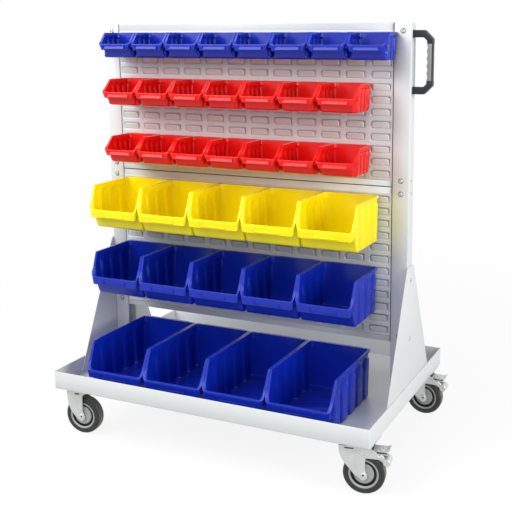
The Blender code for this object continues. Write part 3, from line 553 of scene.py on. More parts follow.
def take_in(bm, mesh):
    """Adds a mesh to the bmesh, which takes its place."""
    bm.from_mesh(mesh)
    bpy.data.meshes.remove(mesh)


def piece(name, mesh, body, material_names, replaced=()):
    """A finished piece on its CAD body, standing for the nodes that it replaces."""
    made = bpy.data.objects.new(name, mesh)
    bpy.context.scene.collection.objects.link(made)
    for material_name in material_names:
        mesh.materials.append(finishes()[material_name])
    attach(made, body)
    if replaced:
        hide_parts(*replaced)
    return made


def frame_piece(name, mesh, replaced=(), finish="frame_paint"):
    """A piece of the cart's sheet-metal frame."""
    return piece(name, mesh, "cart", [finish], replaced)


def with_wall(mesh, thickness, name, even=True):
    """The open skin given a wall behind it, as a new mesh. Even keeps its thickness round a bend."""
    holder = bpy.data.objects.new(name + "_skin", mesh)
    bpy.context.scene.collection.objects.link(holder)
    wall = holder.modifiers.new("wall", "SOLIDIFY")
    wall.thickness = thickness
    wall.offset = -1.0
    wall.use_even_offset = even
    bpy.context.view_layer.update()
    result = bpy.data.meshes.new_from_object(holder.evaluated_get(bpy.context.evaluated_depsgraph_get()))
    bpy.data.objects.remove(holder, do_unlink=True)
    bpy.data.meshes.remove(mesh)
    result.name = name
    return result


def soft_edges(made):
    """A small round along the sheet's cut edges."""
    edge = made.modifiers.new("edge", "BEVEL")
    edge.width = CUT_EDGE
    edge.segments = 1
    edge.limit_method = "ANGLE"


def mapped_grid(bm, columns, rows, place_of):
    """A grid whose vertex at each column and row goes where place_of says."""
    made = bmesh.ops.create_grid(bm, x_segments=columns, y_segments=rows, size=0.5)
    for vert in made["verts"]:
        column = round((vert.co.x + 0.5) * columns)
        row = round((vert.co.y + 0.5) * rows)
        vert.co = place_of(column, row)


def round_edges(bm, edges, radius, segments):
    bmesh.ops.bevel(bm, geom=edges, offset=radius, offset_type="OFFSET", segments=segments, profile=0.5,
                    affect="EDGES", material=-1, clamp_overlap=True)


def block(bm, low, high):
    """A block between two corners, as its vertices."""
    low, high = Vector(low), Vector(high)
    matrix = Matrix.Translation((low + high) / 2) @ Matrix.Diagonal((*(high - low), 1.0))
    return bmesh.ops.create_cube(bm, size=1.0, matrix=matrix)["verts"]


def rounded_block(bm, low, high, radius=SHEET_EDGE, segments=2):
    """A block with every edge rounded."""
    edges = {edge for vert in block(bm, low, high) for edge in vert.link_edges}
    round_edges(bm, list(edges), radius, segments)


def plate(bm, outline, depth, radius=PLATE_EDGE, segments=2, index=0):
    """A flat outline of points made thick by the depth vector, with its edges rounded."""
    before = set(bm.faces)
    disc = bmesh.ops.create_circle(bm, cap_ends=True, segments=len(outline), radius=1.0)["verts"]
    face = disc[0].link_faces[0]
    ring = [loop.vert for loop in face.loops]
    for vert, point in zip(ring, outline):
        vert.co = point
    grown = bmesh.ops.extrude_face_region(bm, geom=[face])["geom"]
    moved = [item for item in grown if isinstance(item, bmesh.types.BMVert)]
    bmesh.ops.translate(bm, verts=moved, vec=depth)
    bm.normal_update()
    faces = list({f for vert in ring + moved for f in vert.link_faces})
    bmesh.ops.recalc_face_normals(bm, faces=faces)
    rims = [edge for edge in {e for f in faces for e in f.edges}
            if all(v in moved for v in edge.verts) or all(v in ring for v in edge.verts)]
    round_edges(bm, rims, radius, segments)
    for made in bm.faces:
        if made not in before:
            made.material_index = index


def side_plate(bm, outline, start, thick, radius, segments=2, index=0):
    """A plate with its outline in x and z, from y at the start."""
    plate(bm, [(x, start, z) for x, z in outline], (0.0, thick, 0.0), radius, segments, index)


def rounded(points, radius, steps=5, closed=True):
    """An outline of 2D points with its corners turned into arcs. A point may carry its own radius."""
    result = []
    count = len(points)
    for index, point in enumerate(points):
        here = Vector(point[:2])
        if not closed and index in (0, count - 1):
            result.append(here)
            continue
        back = Vector(points[index - 1][:2]) - here
        ahead = Vector(points[(index + 1) % count][:2]) - here
        own = point[2] if len(point) > 2 else radius
        turn = back.angle(ahead)
        reach = min(own / math.tan(turn / 2), 0.48 * back.length, 0.48 * ahead.length)
        own = reach * math.tan(turn / 2)
        if own < TINY:
            result.append(here)
            continue
        centre = here + (back.normalized() + ahead.normalized()).normalized() * (own / math.sin(turn / 2))
        first = here + back.normalized() * reach - centre
        last = here + ahead.normalized() * reach - centre
        sweep = first.angle_signed(last)
        for step in range(steps + 1):
            result.append(centre + Matrix.Rotation(-sweep * step / steps, 2) @ first)
    return result


def box_outline(low, high, radius, steps=3):
    """A rectangle with rounded corners."""
    (left, foot), (right, top) = low, high
    return rounded([(left, foot), (right, foot), (right, top), (left, top)], radius, steps)


def turned(bm, profile, matrix, segments, index=0, solid=True):
    """A shape turned from a profile of (radius, height) points about Z, then placed by the matrix."""
    before = set(bm.faces)
    verts = [bm.verts.new((radius, 0.0, height)) for radius, height in profile]
    edges = [bm.edges.new(pair) for pair in zip(verts, verts[1:])]
    bmesh.ops.spin(bm, geom=verts + edges, cent=(0, 0, 0), axis=(0, 0, 1), dvec=(0, 0, 0),
                   angle=2 * math.pi, steps=segments, use_merge=True)
    made = [face for face in bm.faces if face not in before]
    if solid:
        near = list({vert for face in made for vert in face.verts})
        bmesh.ops.remove_doubles(bm, verts=near, dist=TINY)
        made = [face for face in bm.faces if face not in before]
        bmesh.ops.recalc_face_normals(bm, faces=made)
    bmesh.ops.transform(bm, matrix=matrix, verts=list({vert for face in made for vert in face.verts}))
    for face in made:
        face.material_index = index


def mirrored(profile):
    """A turned profile with its other half, across the middle."""
    return [*profile, *((radius, -height) for radius, height in reversed(profile))]


def facing(place, direction):
    """A matrix that puts Z along the direction at the place."""
    return Matrix.Translation(place) @ Vector(direction).to_track_quat("Z", "Y").to_matrix().to_4x4()


def along_axle(x, z, y=0.0, way=1):
    """A matrix that puts Z along a caster's axle at this place."""
    return facing((x, y, z), (0, way, 0))


def pan_head(bm, place, direction, radius, height):
    """A pan-head screw with a drive recess, on a thin ring of shadow. The ring has the second finish."""
    spot, ring = facing(place, direction), radius * HEAD_RING_SHARE
    shadow = [(0.0, HEAD_RING_SHEET), (ring, HEAD_RING_SHEET), (ring, 0.0), (0.0, 0.0)]
    turned(bm, shadow, spot, SCREW_STEPS, index=1)
    turned(bm, [(radius * out, height * up) for out, up in HEAD_PROFILE], spot, SCREW_STEPS)


def smooth_step(value):
    value = max(0.0, min(1.0, value))
    return value * value * (3.0 - 2.0 * value)


def rounded_plan(station, half, rear, front, rear_corner, front_corner):
    """A point on a rounded rectangle at this station, and its outward direction."""
    zone, value = station
    if zone == "rear":
        return Vector((value * (half - rear_corner), rear)), Vector((0.0, 1.0))
    if zone == "front":
        return Vector((value * (half - front_corner), front)), Vector((0.0, -1.0))
    if zone == "side":
        start, end = rear - rear_corner, front + front_corner
        return Vector((half, start + value * (end - start))), Vector((1.0, 0.0))
    normal = Vector((math.cos(value), math.sin(value)))
    if zone == "rear corner":
        return Vector((half - rear_corner, rear - rear_corner)) + normal * rear_corner, normal
    return Vector((half - front_corner, front + front_corner)) + normal * front_corner, normal


class BinShape:
    """One kind of bin, about the lowest corner of its box. The wall lies behind the skin."""

    def __init__(self, kind, size, settings):
        self.kind, self.size, self.settings = kind, size, settings
        self.half, self.height, self.lip = size.x / 2, size.z, kind["front"]
        self.wall, self.corner = kind["wall"], kind["corner"]
        self.rear = size.y - BODY_STANDOFF - self.wall
        self.front = settings.lip_out + self.wall
        self.foot = settings.foot_round + self.wall
        self.slope_y = size.y + HOOK_STANDOFF - kind["level"]
        self.length = self.rear - 2 * self.corner - self.front
        self.slope_line = self.rear - self.corner - self.slope_y
        self.steep = (self.height - self.lip) / (self.slope_y - self.front)

    def side_lines(self):
        """Where the upright lines of a side stand, from the rear corner forward."""
        kind, half, edge = self.kind, self.kind["half"], self.kind["edge"]
        wrap_line = self.length - (kind["wrap"] - self.front - self.corner)
        wanted = {0.0, self.length}
        for line, step in ((self.slope_line, SLOPE_CREASE), (wrap_line, WRAP_CREASE)):
            wanted |= {line - step, line, line + step}
        for middle in kind["recesses"]:
            for back in (0.0, edge / 2, edge, RECESS_INNER * half):
                wanted |= {middle - (half - back), middle + (half - back)}
            wanted.add(middle)
        lines = [0.0]
        for line in sorted(line for line in wanted if 0.0 < line <= self.length):
            start = lines[-1]
            if line - start < LEAST_STEP:
                continue
            steps = max(1, math.ceil((line - start) / LONGEST_STEP))
            lines += [start + (line - start) * (step + 1) / steps for step in range(steps)]
        return lines

    def stations(self):
        """Lines up the skin, from the middle of the rear round one side to the middle of the front."""
        return [*(("rear", share) for share in REAR_SHARES),
                *(("rear corner", math.radians(angle)) for angle in REAR_ANGLES),
                *(("side", line / self.length) for line in self.side_lines()),
                *(("front corner", math.radians(angle)) for angle in FRONT_ANGLES),
                *(("front", share) for share in FRONT_SHARES)]

    def rows(self):
        """Levels of the skin: the rounded foot, the wall, over the rim and down the skirt."""
        kind, foot, height = self.kind, self.foot, self.height
        radius = self.settings.foot_round
        angles = [math.radians(angle) for angle in FOOT_ANGLES]
        rows = [("foot", self.wall + radius * (1.0 - math.cos(angle)), radius * (1.0 - math.sin(angle)))
                for angle in angles]
        arch_top = height - kind["drop"]
        arch = arch_top - kind["half"]
        levels = {foot, height, (arch_top + height) / 2, arch_top, arch_top - kind["edge"] / 2,
                  arch_top - kind["edge"], arch_top - RECESS_INNER * kind["half"], arch}
        levels |= {foot + (arch - foot) * share for share in WALL_SHARES}
        rows += [("wall", (level - foot) / (height - foot), 0.0) for level in sorted(levels)]
        rows += [("rim", share, RIM_EDGE * drop) for share, drop in RIM_SHARES]
        rows += [("skirt", share, 0.0) for share in SKIRT_SHARES]
        return rows

    def top_at(self, y):
        slope = self.lip + self.steep * (y - self.front)
        return min(self.height, max(self.lip, slope))

    def wall_plan(self, station, z):
        """A point of the wall's inner face at this height, and its outward direction."""
        settings, kind = self.settings, self.kind
        below = max(0.0, (self.lip - z) / self.lip)
        down = (self.height - z) / self.height
        front = self.front + kind["lean"] * below ** FRONT_CURVE_SHARE
        front_corner = self.corner + (kind["foot_corner"] - self.corner) * below
        rear = self.rear - settings.rear_lean * down
        half = self.half - settings.rim_out - self.wall - settings.taper * down
        zone, value = station
        start, end = rear - self.corner, front + front_corner
        if zone == "side":
            y = self.drawn_in(self.rear - self.corner - value * self.length, start, end)
            return Vector((half + self.pressed_out(y, z), y)), Vector((1.0, 0.0))
        half += self.pressed_out(start if zone.startswith("rear") else end, z)
        return rounded_plan(station, half, rear, front, self.corner, front_corner)

    def drawn_in(self, line, start, end):
        """Where an upright line of the side runs, drawn together where the leaning ends cut it off."""
        top_start = self.rear - self.corner
        top_end = self.front + self.corner
        if line > start - DRAWN_IN:
            return start - DRAWN_IN + (line - start + DRAWN_IN) * DRAWN_IN / (top_start - start + DRAWN_IN)
        if line < end + DRAWN_IN:
            return end + (line - top_end) * DRAWN_IN / (end + DRAWN_IN - top_end)
        return line

    def pressed_out(self, y, z):
        """How far a recess presses the side wall out at this place."""
        kind = self.kind
        along = self.rear - self.corner - y
        arch = self.height - kind["drop"] - kind["half"]
        away = min(math.hypot(along - middle, max(0.0, z - arch)) for middle in kind["recesses"])
        depth = kind["depth"] + (kind["foot_depth"] - kind["depth"]) * (1.0 - z / self.height)
        shoulder = smooth_step((self.top_at(y) - z - kind["clear"]) / RECESS_FADE)
        return depth * shoulder * smooth_step((kind["half"] - away) / kind["edge"])

    def rim_plan(self, station, wall_point):
        """The rim's outer edge beside this point of the wall."""
        rear, front = self.size.y - RIM_STANDOFF, self.kind["band_back"]
        corner = self.corner + self.settings.rim_out / 2
        point, normal = rounded_plan(station, self.half, rear, front, corner, corner)
        if station[0] == "side":
            point.y = wall_point.y
        return point, normal

    def skirt_foot(self, station, y, top_z):
        """The height of the turned-down rim's lower edge."""
        zone, value = station
        band = self.lip - self.kind["band"]
        if zone in ("rear", "rear corner"):
            return top_z - REAR_SKIRT
        if zone == "front":
            return band
        if zone == "front corner":
            return band + BAND_CORNER * (1.0 - math.cos(math.pi / 2 + value))
        if y < self.kind["wrap"] + TINY:
            return band + BAND_CORNER
        slanted = top_z < self.height - TINY
        return top_z - self.settings.skirt * (math.hypot(1.0, self.steep) if slanted else 1.0)

    def point(self, station, row):
        """The skin's point on this line at this level, for the side where x is positive."""
        stage, value, extra = row
        (x, y), normal = self.wall_plan(station, self.height)
        top_z = self.top_at(y)
        if stage in ("foot", "wall"):
            z = value if stage == "foot" else self.foot + value * (top_z - self.foot)
            flat, normal = self.wall_plan(station, z)
            if stage == "foot":
                flat = flat - normal * extra
            return flat.x, flat.y, z
        wall_point, normal = self.wall_plan(station, top_z)
        edge, normal = self.rim_plan(station, wall_point)
        if stage == "rim":
            flat = wall_point.lerp(edge, value)
            return flat.x, flat.y, top_z - extra
        start = top_z - RIM_EDGE
        z = start + (self.skirt_foot(station, edge.y, top_z) - start) * value
        flat = edge - normal * BAND_LEAN_SHARE * (top_z - z)
        if wall_point.y < self.kind["wrap"]:
            flat.x *= 1.0 - self.kind["band_taper"] * (top_z - z) / self.kind["band"]
        return flat.x, flat.y, z

    def skin(self):
        """The bin's inner face from the floor up, over the rim and down its skirt, as one open sheet."""
        right = self.stations()
        loop = [(station, 1.0) for station in right]
        loop += [(station, -1.0) for station in reversed(right[1:-1])]
        rows = self.rows()
        bm = bmesh.new()

        def place_of(column, row):
            station, side = loop[column % len(loop)]
            x, y, z = self.point(station, rows[row])
            return Vector((self.half + side * x, y, z))

        mapped_grid(bm, len(loop), len(rows) - 1, place_of)
        bmesh.ops.remove_doubles(bm, verts=bm.verts, dist=TINY)
        foot_line = self.wall + TINY
        open_edges = [edge for edge in bm.edges if edge.is_boundary]
        floor = [edge for edge in open_edges if all(vert.co.z < foot_line for vert in edge.verts)]
        bmesh.ops.edgeloop_fill(bm, edges=floor)
        bmesh.ops.recalc_face_normals(bm, faces=bm.faces)
        return bm

    def add_hook(self, bm):
        """The strip behind the rim that hangs on the louvres, and the bridge that joins it to the rim."""
        sheet, rear, top = HOOK_SHEET, self.size.y, self.height
        left, right = self.half * (1.0 - HOOK_SHARE), self.half * (1.0 + HOOK_SHARE)
        rounded_block(bm, (left, rear - sheet, top - HOOK_DROP), (right, rear, top))
        rounded_block(bm, (left, rear - 2 * sheet, top - sheet), (right, rear - sheet / 2, top))

    def add_label_frame(self, bm):
        """A raised frame for a label on the band, left bare. A small bin's has a tilted plate in it."""
        band, line = self.kind["band"], LABEL_LINE
        high = self.lip - band * LABEL_TOP_SHARE
        low = self.lip - band * LABEL_FOOT_SHARE
        reach = self.half * self.kind["label_share"]
        left, right = self.half - reach, self.half + reach
        back = self.kind["band_back"] + BAND_LEAN_SHARE * band + line / 2
        for x in (left, right - line):
            rounded_block(bm, (x, 0.0, low), (x + line, back, high), CUT_EDGE, segments=1)
        rounded_block(bm, (left, 0.0, low - line), (right, back, low), CUT_EDGE, segments=1)
        if self.kind["label_plate"]:
            profile = [(left + line, y, z) for y, z in ((back, high), (back, low), (line / 4, low))]
            plate(bm, profile, (2 * (reach - line), 0.0, 0.0), LABEL_PLATE_EDGE, segments=1)


def bin_mesh(kind, size, settings, name):
    """The finished mesh of one kind of bin, about the lowest corner of its box."""
    shape = BinShape(kind, size, settings)
    bm = bmesh.new()
    take_in(bm, with_wall(mesh_of(shape.skin(), name, MOULDED_CREASE), kind["wall"], name, even=False))
    shape.add_hook(bm)
    shape.add_label_frame(bm)
    return mesh_of(bm, name, MOULDED_CREASE)


class CART_OT_bins(bpy.types.Operator):
    """Model the hanging and standing storage bins"""
    bl_idname = "bin_cart.bins"
    bl_label = "Storage Bins"

    def execute(self, context):
        settings = context.scene.bin_cart.bins
        made = {}
        for start, count, kind_name, slot in BIN_ROWS:
            finish = "plastic_" + slot.split("_")[1]
            for number in range(1, count + 1):
                node = f"{start}_{number}"
                low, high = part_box(node)
                if kind_name not in made:
                    made[kind_name] = bin_mesh(BIN_KINDS[kind_name], high - low, settings, kind_name)
                mesh = made[kind_name].copy()
                mesh.transform(Matrix.Translation(low))
                piece(f"{node}_moulding", mesh, node, [finish], [node])
        return {"FINISHED"}


def louvre_cut(settings):
    """The cut round a louvre, and the points beside it on the border of its cell."""
    half_x = settings.width / 2 + settings.side_slot
    low, high = -settings.height / 2, settings.height / 2 + settings.top_slot
    corner, foot = settings.corner + settings.top_slot, settings.corner * LOUVRE_FOOT_SHARE
    border_x, border_z = settings.column_pitch / 2, settings.row_pitch / 2
    straight_x, straight_z = settings.width / 2 - settings.corner, settings.height * LOUVRE_SIDE_SHARE
    middle = CUT_STEPS // 2
    steps = range(CUT_STEPS + 1)
    cut, border = [], []
    for sign_x, sign_z, radius in ((1, 1, corner), (-1, 1, corner), (-1, -1, foot), (1, -1, foot)):
        centre = Vector((sign_x * (half_x - radius), (high if sign_z > 0 else low) - sign_z * radius))
        for step in steps if sign_x * sign_z > 0 else reversed(steps):
            angle = math.pi / 2 * step / CUT_STEPS
            cut.append(centre + radius * Vector((sign_x * math.cos(angle), sign_z * math.sin(angle))))
            if step <= middle:
                along = straight_z + (border_z - straight_z) * step / middle
                border.append(Vector((sign_x * border_x, sign_z * along)))
            else:
                along = straight_x + (border_x - straight_x) * (CUT_STEPS - step) / middle
                border.append(Vector((sign_x * along, sign_z * border_z)))
    return cut, border


def louvre_point(settings, across, up):
    """A louvre's surface: bent out of the sheet at its foot, with rounded upper corners."""
    corner = settings.corner
    z = settings.height * up
    half = settings.width / 2
    over = z - (settings.height - corner)
    if over > 0:
        half -= corner - math.sqrt(max(0.0, corner * corner - over * over))
    bow = 1.0 - LOUVRE_BOW * abs(across) ** 3
    out = settings.reach * bow * (LOUVRE_STRAIGHT * up + LOUVRE_CURVED * up ** 1.5)
    return across * half, -out, z - settings.height / 2


def panel_skin(settings, face_width, lap, height):
    """One louvred sheet about the middle of its top edge."""
    bm = bmesh.new()
    cut, border = louvre_cut(settings)
    for row in range(settings.rows):
        middle_z = -settings.top_margin - settings.height / 2 - row * settings.row_pitch
        for column in range(settings.columns):
            middle_x = (column - (settings.columns - 1) / 2) * settings.column_pitch

            def sheet_point(around, level):
                flat = border[around % len(cut)].lerp(cut[around % len(cut)], SHEET_RINGS[level])
                return middle_x + flat.x, 0.0, middle_z + flat.y

            def tongue_point(across, up):
                x, y, z = louvre_point(settings, 2 * across / LOUVRE_ACROSS - 1.0, up / LOUVRE_UP)
                return middle_x + x, y, middle_z + z

            mapped_grid(bm, len(cut), len(SHEET_RINGS) - 1, sheet_point)
            mapped_grid(bm, LOUVRE_ACROSS, LOUVRE_UP, tongue_point)
    add_margins(bm, settings, face_width, lap, height)
    bmesh.ops.remove_doubles(bm, verts=bm.verts, dist=TINY)
    for face in bm.faces:
        face.normal_update()
    bmesh.ops.reverse_faces(bm, faces=[face for face in bm.faces if face.normal.y > 0.0])
    return bm


def add_margins(bm, settings, face_width, lap, height):
    """The plain sheet round the louvres: folded edges at the top and foot, laps behind the uprights."""
    first = -settings.top_margin - settings.height / 2 + settings.row_pitch / 2
    last = first - settings.rows * settings.row_pitch
    half = face_width / 2
    fold = [(PANEL_FOLD * along, PANEL_FOLD * back) for along, back in FOLD_SHARES]
    top = [(-along, back) for along, back in fold] + [(first, 0.0)]
    foot = [(last, 0.0)] + [(along - height, back) for along, back in reversed(fold)]
    for lines in (top, foot):
        mapped_grid(bm, 1, len(lines) - 1, lambda across, up, lines=lines: (
            -half + across * face_width, lines[up][1], lines[up][0]))
    for start in (-half - lap, half):
        mapped_grid(bm, 1, 1, lambda across, up, start=start: (start + across * lap, 0.0, -up * height))


class CART_OT_panels(bpy.types.Operator):
    """Model the louvred panels, the painted shadow in the gaps round them and the sheet behind them"""
    bl_idname = "bin_cart.panels"
    bl_label = "Louvred Panels"

    def execute(self, context):
        louvres = context.scene.bin_cart.louvres
        sheet = context.scene.bin_cart.sheet
        face_width = louvres.columns * louvres.column_pitch
        for node in ("panel_upper", "panel_lower"):
            low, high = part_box(node)
            lap = (high.x - low.x - face_width) / 2
            skin = mesh_of(panel_skin(louvres, face_width, lap, high.z - low.z), node, MOULDED_CREASE)
            mesh = with_wall(skin, sheet.panel_sheet, node + "_sheet")
            mesh.transform(Matrix.Translation(((low.x + high.x) / 2, high.y - sheet.panel_sheet, high.z)))
            frame_piece(node + "_louvred", mesh, [node])
        self.gaps(face_width, sheet)
        self.rear_sheet()
        return {"FINISHED"}

    def gaps(self, face_width, sheet):
        """Dark plates of painted shadow in the gaps between the two panels and along the uprights' flanges.
        """
        low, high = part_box("panel_lower")
        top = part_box("panel_upper")[1].z
        face_y, middle, half = high.y - sheet.panel_sheet, (low.x + high.x) / 2, face_width / 2
        bm = bmesh.new()
        rounded_block(bm, (middle - half, face_y - SHADOW_PLATE, high.z - SEAM_SHADOW_HEIGHT / 2),
                      (middle + half, face_y + PANEL_FOLD / 2, high.z + SEAM_SHADOW_HEIGHT / 2),
                      SHADOW_PLATE / 2, segments=1)
        for side, width in ((-1, EDGE_SHADOW_WIDTH / 3), (1, EDGE_SHADOW_WIDTH)):
            inner, outer = sorted((middle + side * half, middle + side * (half - width)))
            rounded_block(bm, (inner, face_y - SHADOW_PLATE, low.z), (outer, face_y + SHADOW_PLATE, top),
                          SHADOW_PLATE / 2, segments=1)
        frame_piece("panel_gaps", mesh_of(bm, "panel_gaps"), finish="shadow_gap")

    def rear_sheet(self):
        """The plain sheet that closes the back, with two shallow pressed ribs."""
        low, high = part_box("panel_rear")
        bm = bmesh.new()
        rounded_block(bm, low, high)
        for share in RIB_SHARES:
            x = low.x + share * (high.x - low.x)
            rounded_block(bm, (x - RIB_HALF, high.y - RIB_RELIEF, low.z + RIB_MARGIN),
                          (x + RIB_HALF, high.y + RIB_RELIEF, high.z - RIB_MARGIN),
                          RIB_RELIEF * RIB_EDGE_SHARE)
        frame_piece("panel_rear_sheet", mesh_of(bm, "panel_rear_sheet"), ["panel_rear"])


class CART_OT_frame_sheets(bpy.types.Operator):
    """Model the folded tray, the uprights and the gusset plates"""
    bl_idname = "bin_cart.frame_sheets"
    bl_label = "Tray, Uprights and Gussets"

    def execute(self, context):
        sheet = context.scene.bin_cart.sheet
        self.tray(sheet)
        for node in ("upright_left", "upright_right"):
            self.upright(node, sheet)
        for node in ("gusset_left", "gusset_right"):
            self.gusset(node, sheet)
        return {"FINISHED"}

    def tray(self, sheet):
        """A box without its lid, folded from one sheet."""
        bm = bmesh.new()
        block(bm, *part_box("base_tray"))
        lids = [face for face in bm.faces if face.normal.z > 0.5]
        bmesh.ops.delete(bm, geom=lids, context="FACES_ONLY")
        folds = [edge for edge in bm.edges if not edge.is_boundary]
        round_edges(bm, folds, sheet.bend, segments=4)
        bmesh.ops.recalc_face_normals(bm, faces=bm.faces)
        mesh = with_wall(mesh_of(bm, "tray"), sheet.tray_sheet, "tray_folded")
        soft_edges(frame_piece("base_tray_folded", mesh, ["base_tray"]))

    def upright(self, node, sheet):
        """A folded post, open towards the middle of the cart."""
        low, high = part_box(node)
        inner, outer = (low.x, high.x) if low.x > 0 else (high.x, low.x)
        corners = [(inner, low.y), (outer, low.y), (outer, high.y), (inner, high.y)]
        path = rounded(corners, sheet.bend, closed=False)
        bm = bmesh.new()
        mapped_grid(bm, len(path) - 1, 1, lambda along, up: (*path[along], (low.z, high.z)[up]))
        bmesh.ops.recalc_face_normals(bm, faces=bm.faces)
        middle = Vector(((low.x + high.x) / 2, (low.y + high.y) / 2, 0.0))
        flanges = [face for face in bm.faces if abs(face.normal.y) > 0.9]
        if sum((face.calc_center_median() - middle).dot(face.normal) for face in flanges) < 0:
            bmesh.ops.reverse_faces(bm, faces=bm.faces)
        mesh = with_wall(mesh_of(bm, node), sheet.upright_sheet, node + "_folded")
        soft_edges(frame_piece(node + "_folded", mesh, [node]))

    def gusset(self, node, sheet):
        """A tapered plate between an upright and the tray's end."""
        low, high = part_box(node)
        half = sheet.gusset_top / 2
        points = rounded([(low.y, low.z), (high.y, low.z), (half, high.z, GUSSET_TOP_ROUND),
                          (-half, high.z, GUSSET_TOP_ROUND)], GUSSET_FOOT_ROUND, steps=4)
        bm = bmesh.new()
        plate(bm, [(low.x, y, z) for y, z in points], (high.x - low.x, 0.0, 0.0), SHEET_EDGE)
        bmesh.ops.recalc_face_normals(bm, faces=bm.faces)
        frame_piece(node + "_plate", mesh_of(bm, node), [node])


class CART_OT_handle(bpy.types.Operator):
    """Model the push handle and its grip"""
    bl_idname = "bin_cart.handle"
    bl_label = "Push Handle"

    def execute(self, context):
        self.body()
        self.grip()
        return {"FINISHED"}

    def body(self):
        """Two arms with a bevelled outer corner, joined by a thin strip behind the grip."""
        low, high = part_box("handle_body")
        grip_low, grip_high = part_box("handle_grip")
        bar = high.x - HANDLE_BAR
        bm = bmesh.new()
        for end, way, meet in ((high.z, -1, grip_high.z), (low.z, 1, grip_low.z)):
            arm = end + way * HANDLE_ARM
            points = [(low.x, end, HANDLE_TIGHT), (high.x - HANDLE_CORNER, end),
                      (high.x, end + way * HANDLE_CORNER), (high.x, meet, HANDLE_TIGHT),
                      (bar, meet, HANDLE_TIGHT), (bar, arm + way * HANDLE_INNER_CORNER),
                      (bar - HANDLE_INNER_CORNER, arm), (low.x, arm, HANDLE_TIGHT)]
            outline = rounded(points, HANDLE_SOFT, steps=4)
            side_plate(bm, outline, low.y, high.y - low.y, HANDLE_EDGE, segments=4)
        rounded_block(bm, (high.x - HANDLE_STRIP, low.y + HANDLE_EDGE / 2, grip_low.z - HANDLE_EDGE),
                      (high.x, high.y - HANDLE_EDGE / 2, grip_high.z + HANDLE_EDGE),
                      HANDLE_STRIP * STRIP_EDGE_SHARE, segments=3)
        piece("handle_body_moulded", mesh_of(bm, "handle_body", MOULDED_CREASE), "cart", ["handle_plastic"],
              ["handle_body"])

    def grip(self):
        """The soft grip, with a wave for each finger on its inner side."""
        low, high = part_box("handle_grip")
        steps = GRIP_WAVES * GRIP_WAVE_STEPS
        points = [(high.x, high.z), (high.x, low.z)]
        for step in range(steps + 1):
            hollow = GRIP_WAVE_DEPTH * (0.5 - 0.5 * math.cos(2 * math.pi * step / GRIP_WAVE_STEPS))
            points.append((low.x + hollow, low.z + (high.z - low.z) * step / steps))
        bm = bmesh.new()
        side_plate(bm, points, low.y, high.y - low.y, GRIP_EDGE, segments=4)
        piece("handle_grip_moulded", mesh_of(bm, "handle_grip", MOULDED_CREASE), "cart", ["grip_plastic"],
              ["handle_grip"])


def fork_side(braked, top, axle_x, axle_z):
    """The fork's cheek seen from the side: x from the kingpin, z from the floor, with corner radii."""
    toe, throat, sole = axle_x + TOE, axle_x + TOE - THROAT, axle_z - BOSS_DROP
    rear = -BRAKED_REAR if braked else -PLAIN_REAR
    shares = BRAKED_EDGE_SHARES if braked else PLAIN_EDGE_SHARES
    way_x, way_z = axle_x - TOE - rear, top - axle_z
    points = [(rear, top, CROWN_CORNER)]
    points += [(rear + way_x * along, axle_z + way_z * above, NECK_CORNER) for along, above in shares]
    points += [(axle_x - TOE / 2, sole, BOSS_CORNER), (toe - TOE / 2, sole, BOSS_CORNER),
               (toe, axle_z - BOSS_DROP / 2, TOE_CORNER), (toe, axle_z, TOE_CORNER),
               (throat, axle_z + BOSS_DROP, TOE_CORNER)]
    if braked:
        front = ((throat, ARM_BOTTOM), (ARM_REACH, ARM_BOTTOM), (ARM_REACH, ARM_TIP), (WEB_REACH, top))
        corners = BRAKED_CORNERS
    else:
        front = ((throat, top - PLAIN_SKIRT), (PLAIN_FRONT, top))
        corners = PLAIN_CORNERS
    points += [(*place, corner) for place, corner in zip(front, corners)]
    return rounded(points, CROWN_CORNER, steps=4)


def wheel_profiles(settings):
    """The tyre's side, the tread painted lighter as a sheen, the bright ring, the recess painted dark as
    shade, and the hub, each with its finish.
    """
    radius, half = settings.wheel_radius, settings.wheel_width / 2
    inner, ring, shaded_dish, hub = ([(out, half - depth) for out, depth in profile]
                              for profile in (TYRE_INNER, WHEEL_RING, SHADED_WHEEL_DISH, WHEEL_HUB))
    side = inner + [(radius - inset, half - depth) for inset, depth in TYRE_SHOULDER]
    tread = [side[-1], (radius - TREAD_FALL, TREAD_CROWN), (radius, TREAD_CROWN / 2), (radius, 0.0)]
    hub.append((hub[-1][0], 0.0))
    # The recess takes the painted shadow, and the tread the lighter rubber painted as a sheen
    return ((side, 0), (tread, 3), (ring, 1), (shaded_dish, 2), (hub, 1))


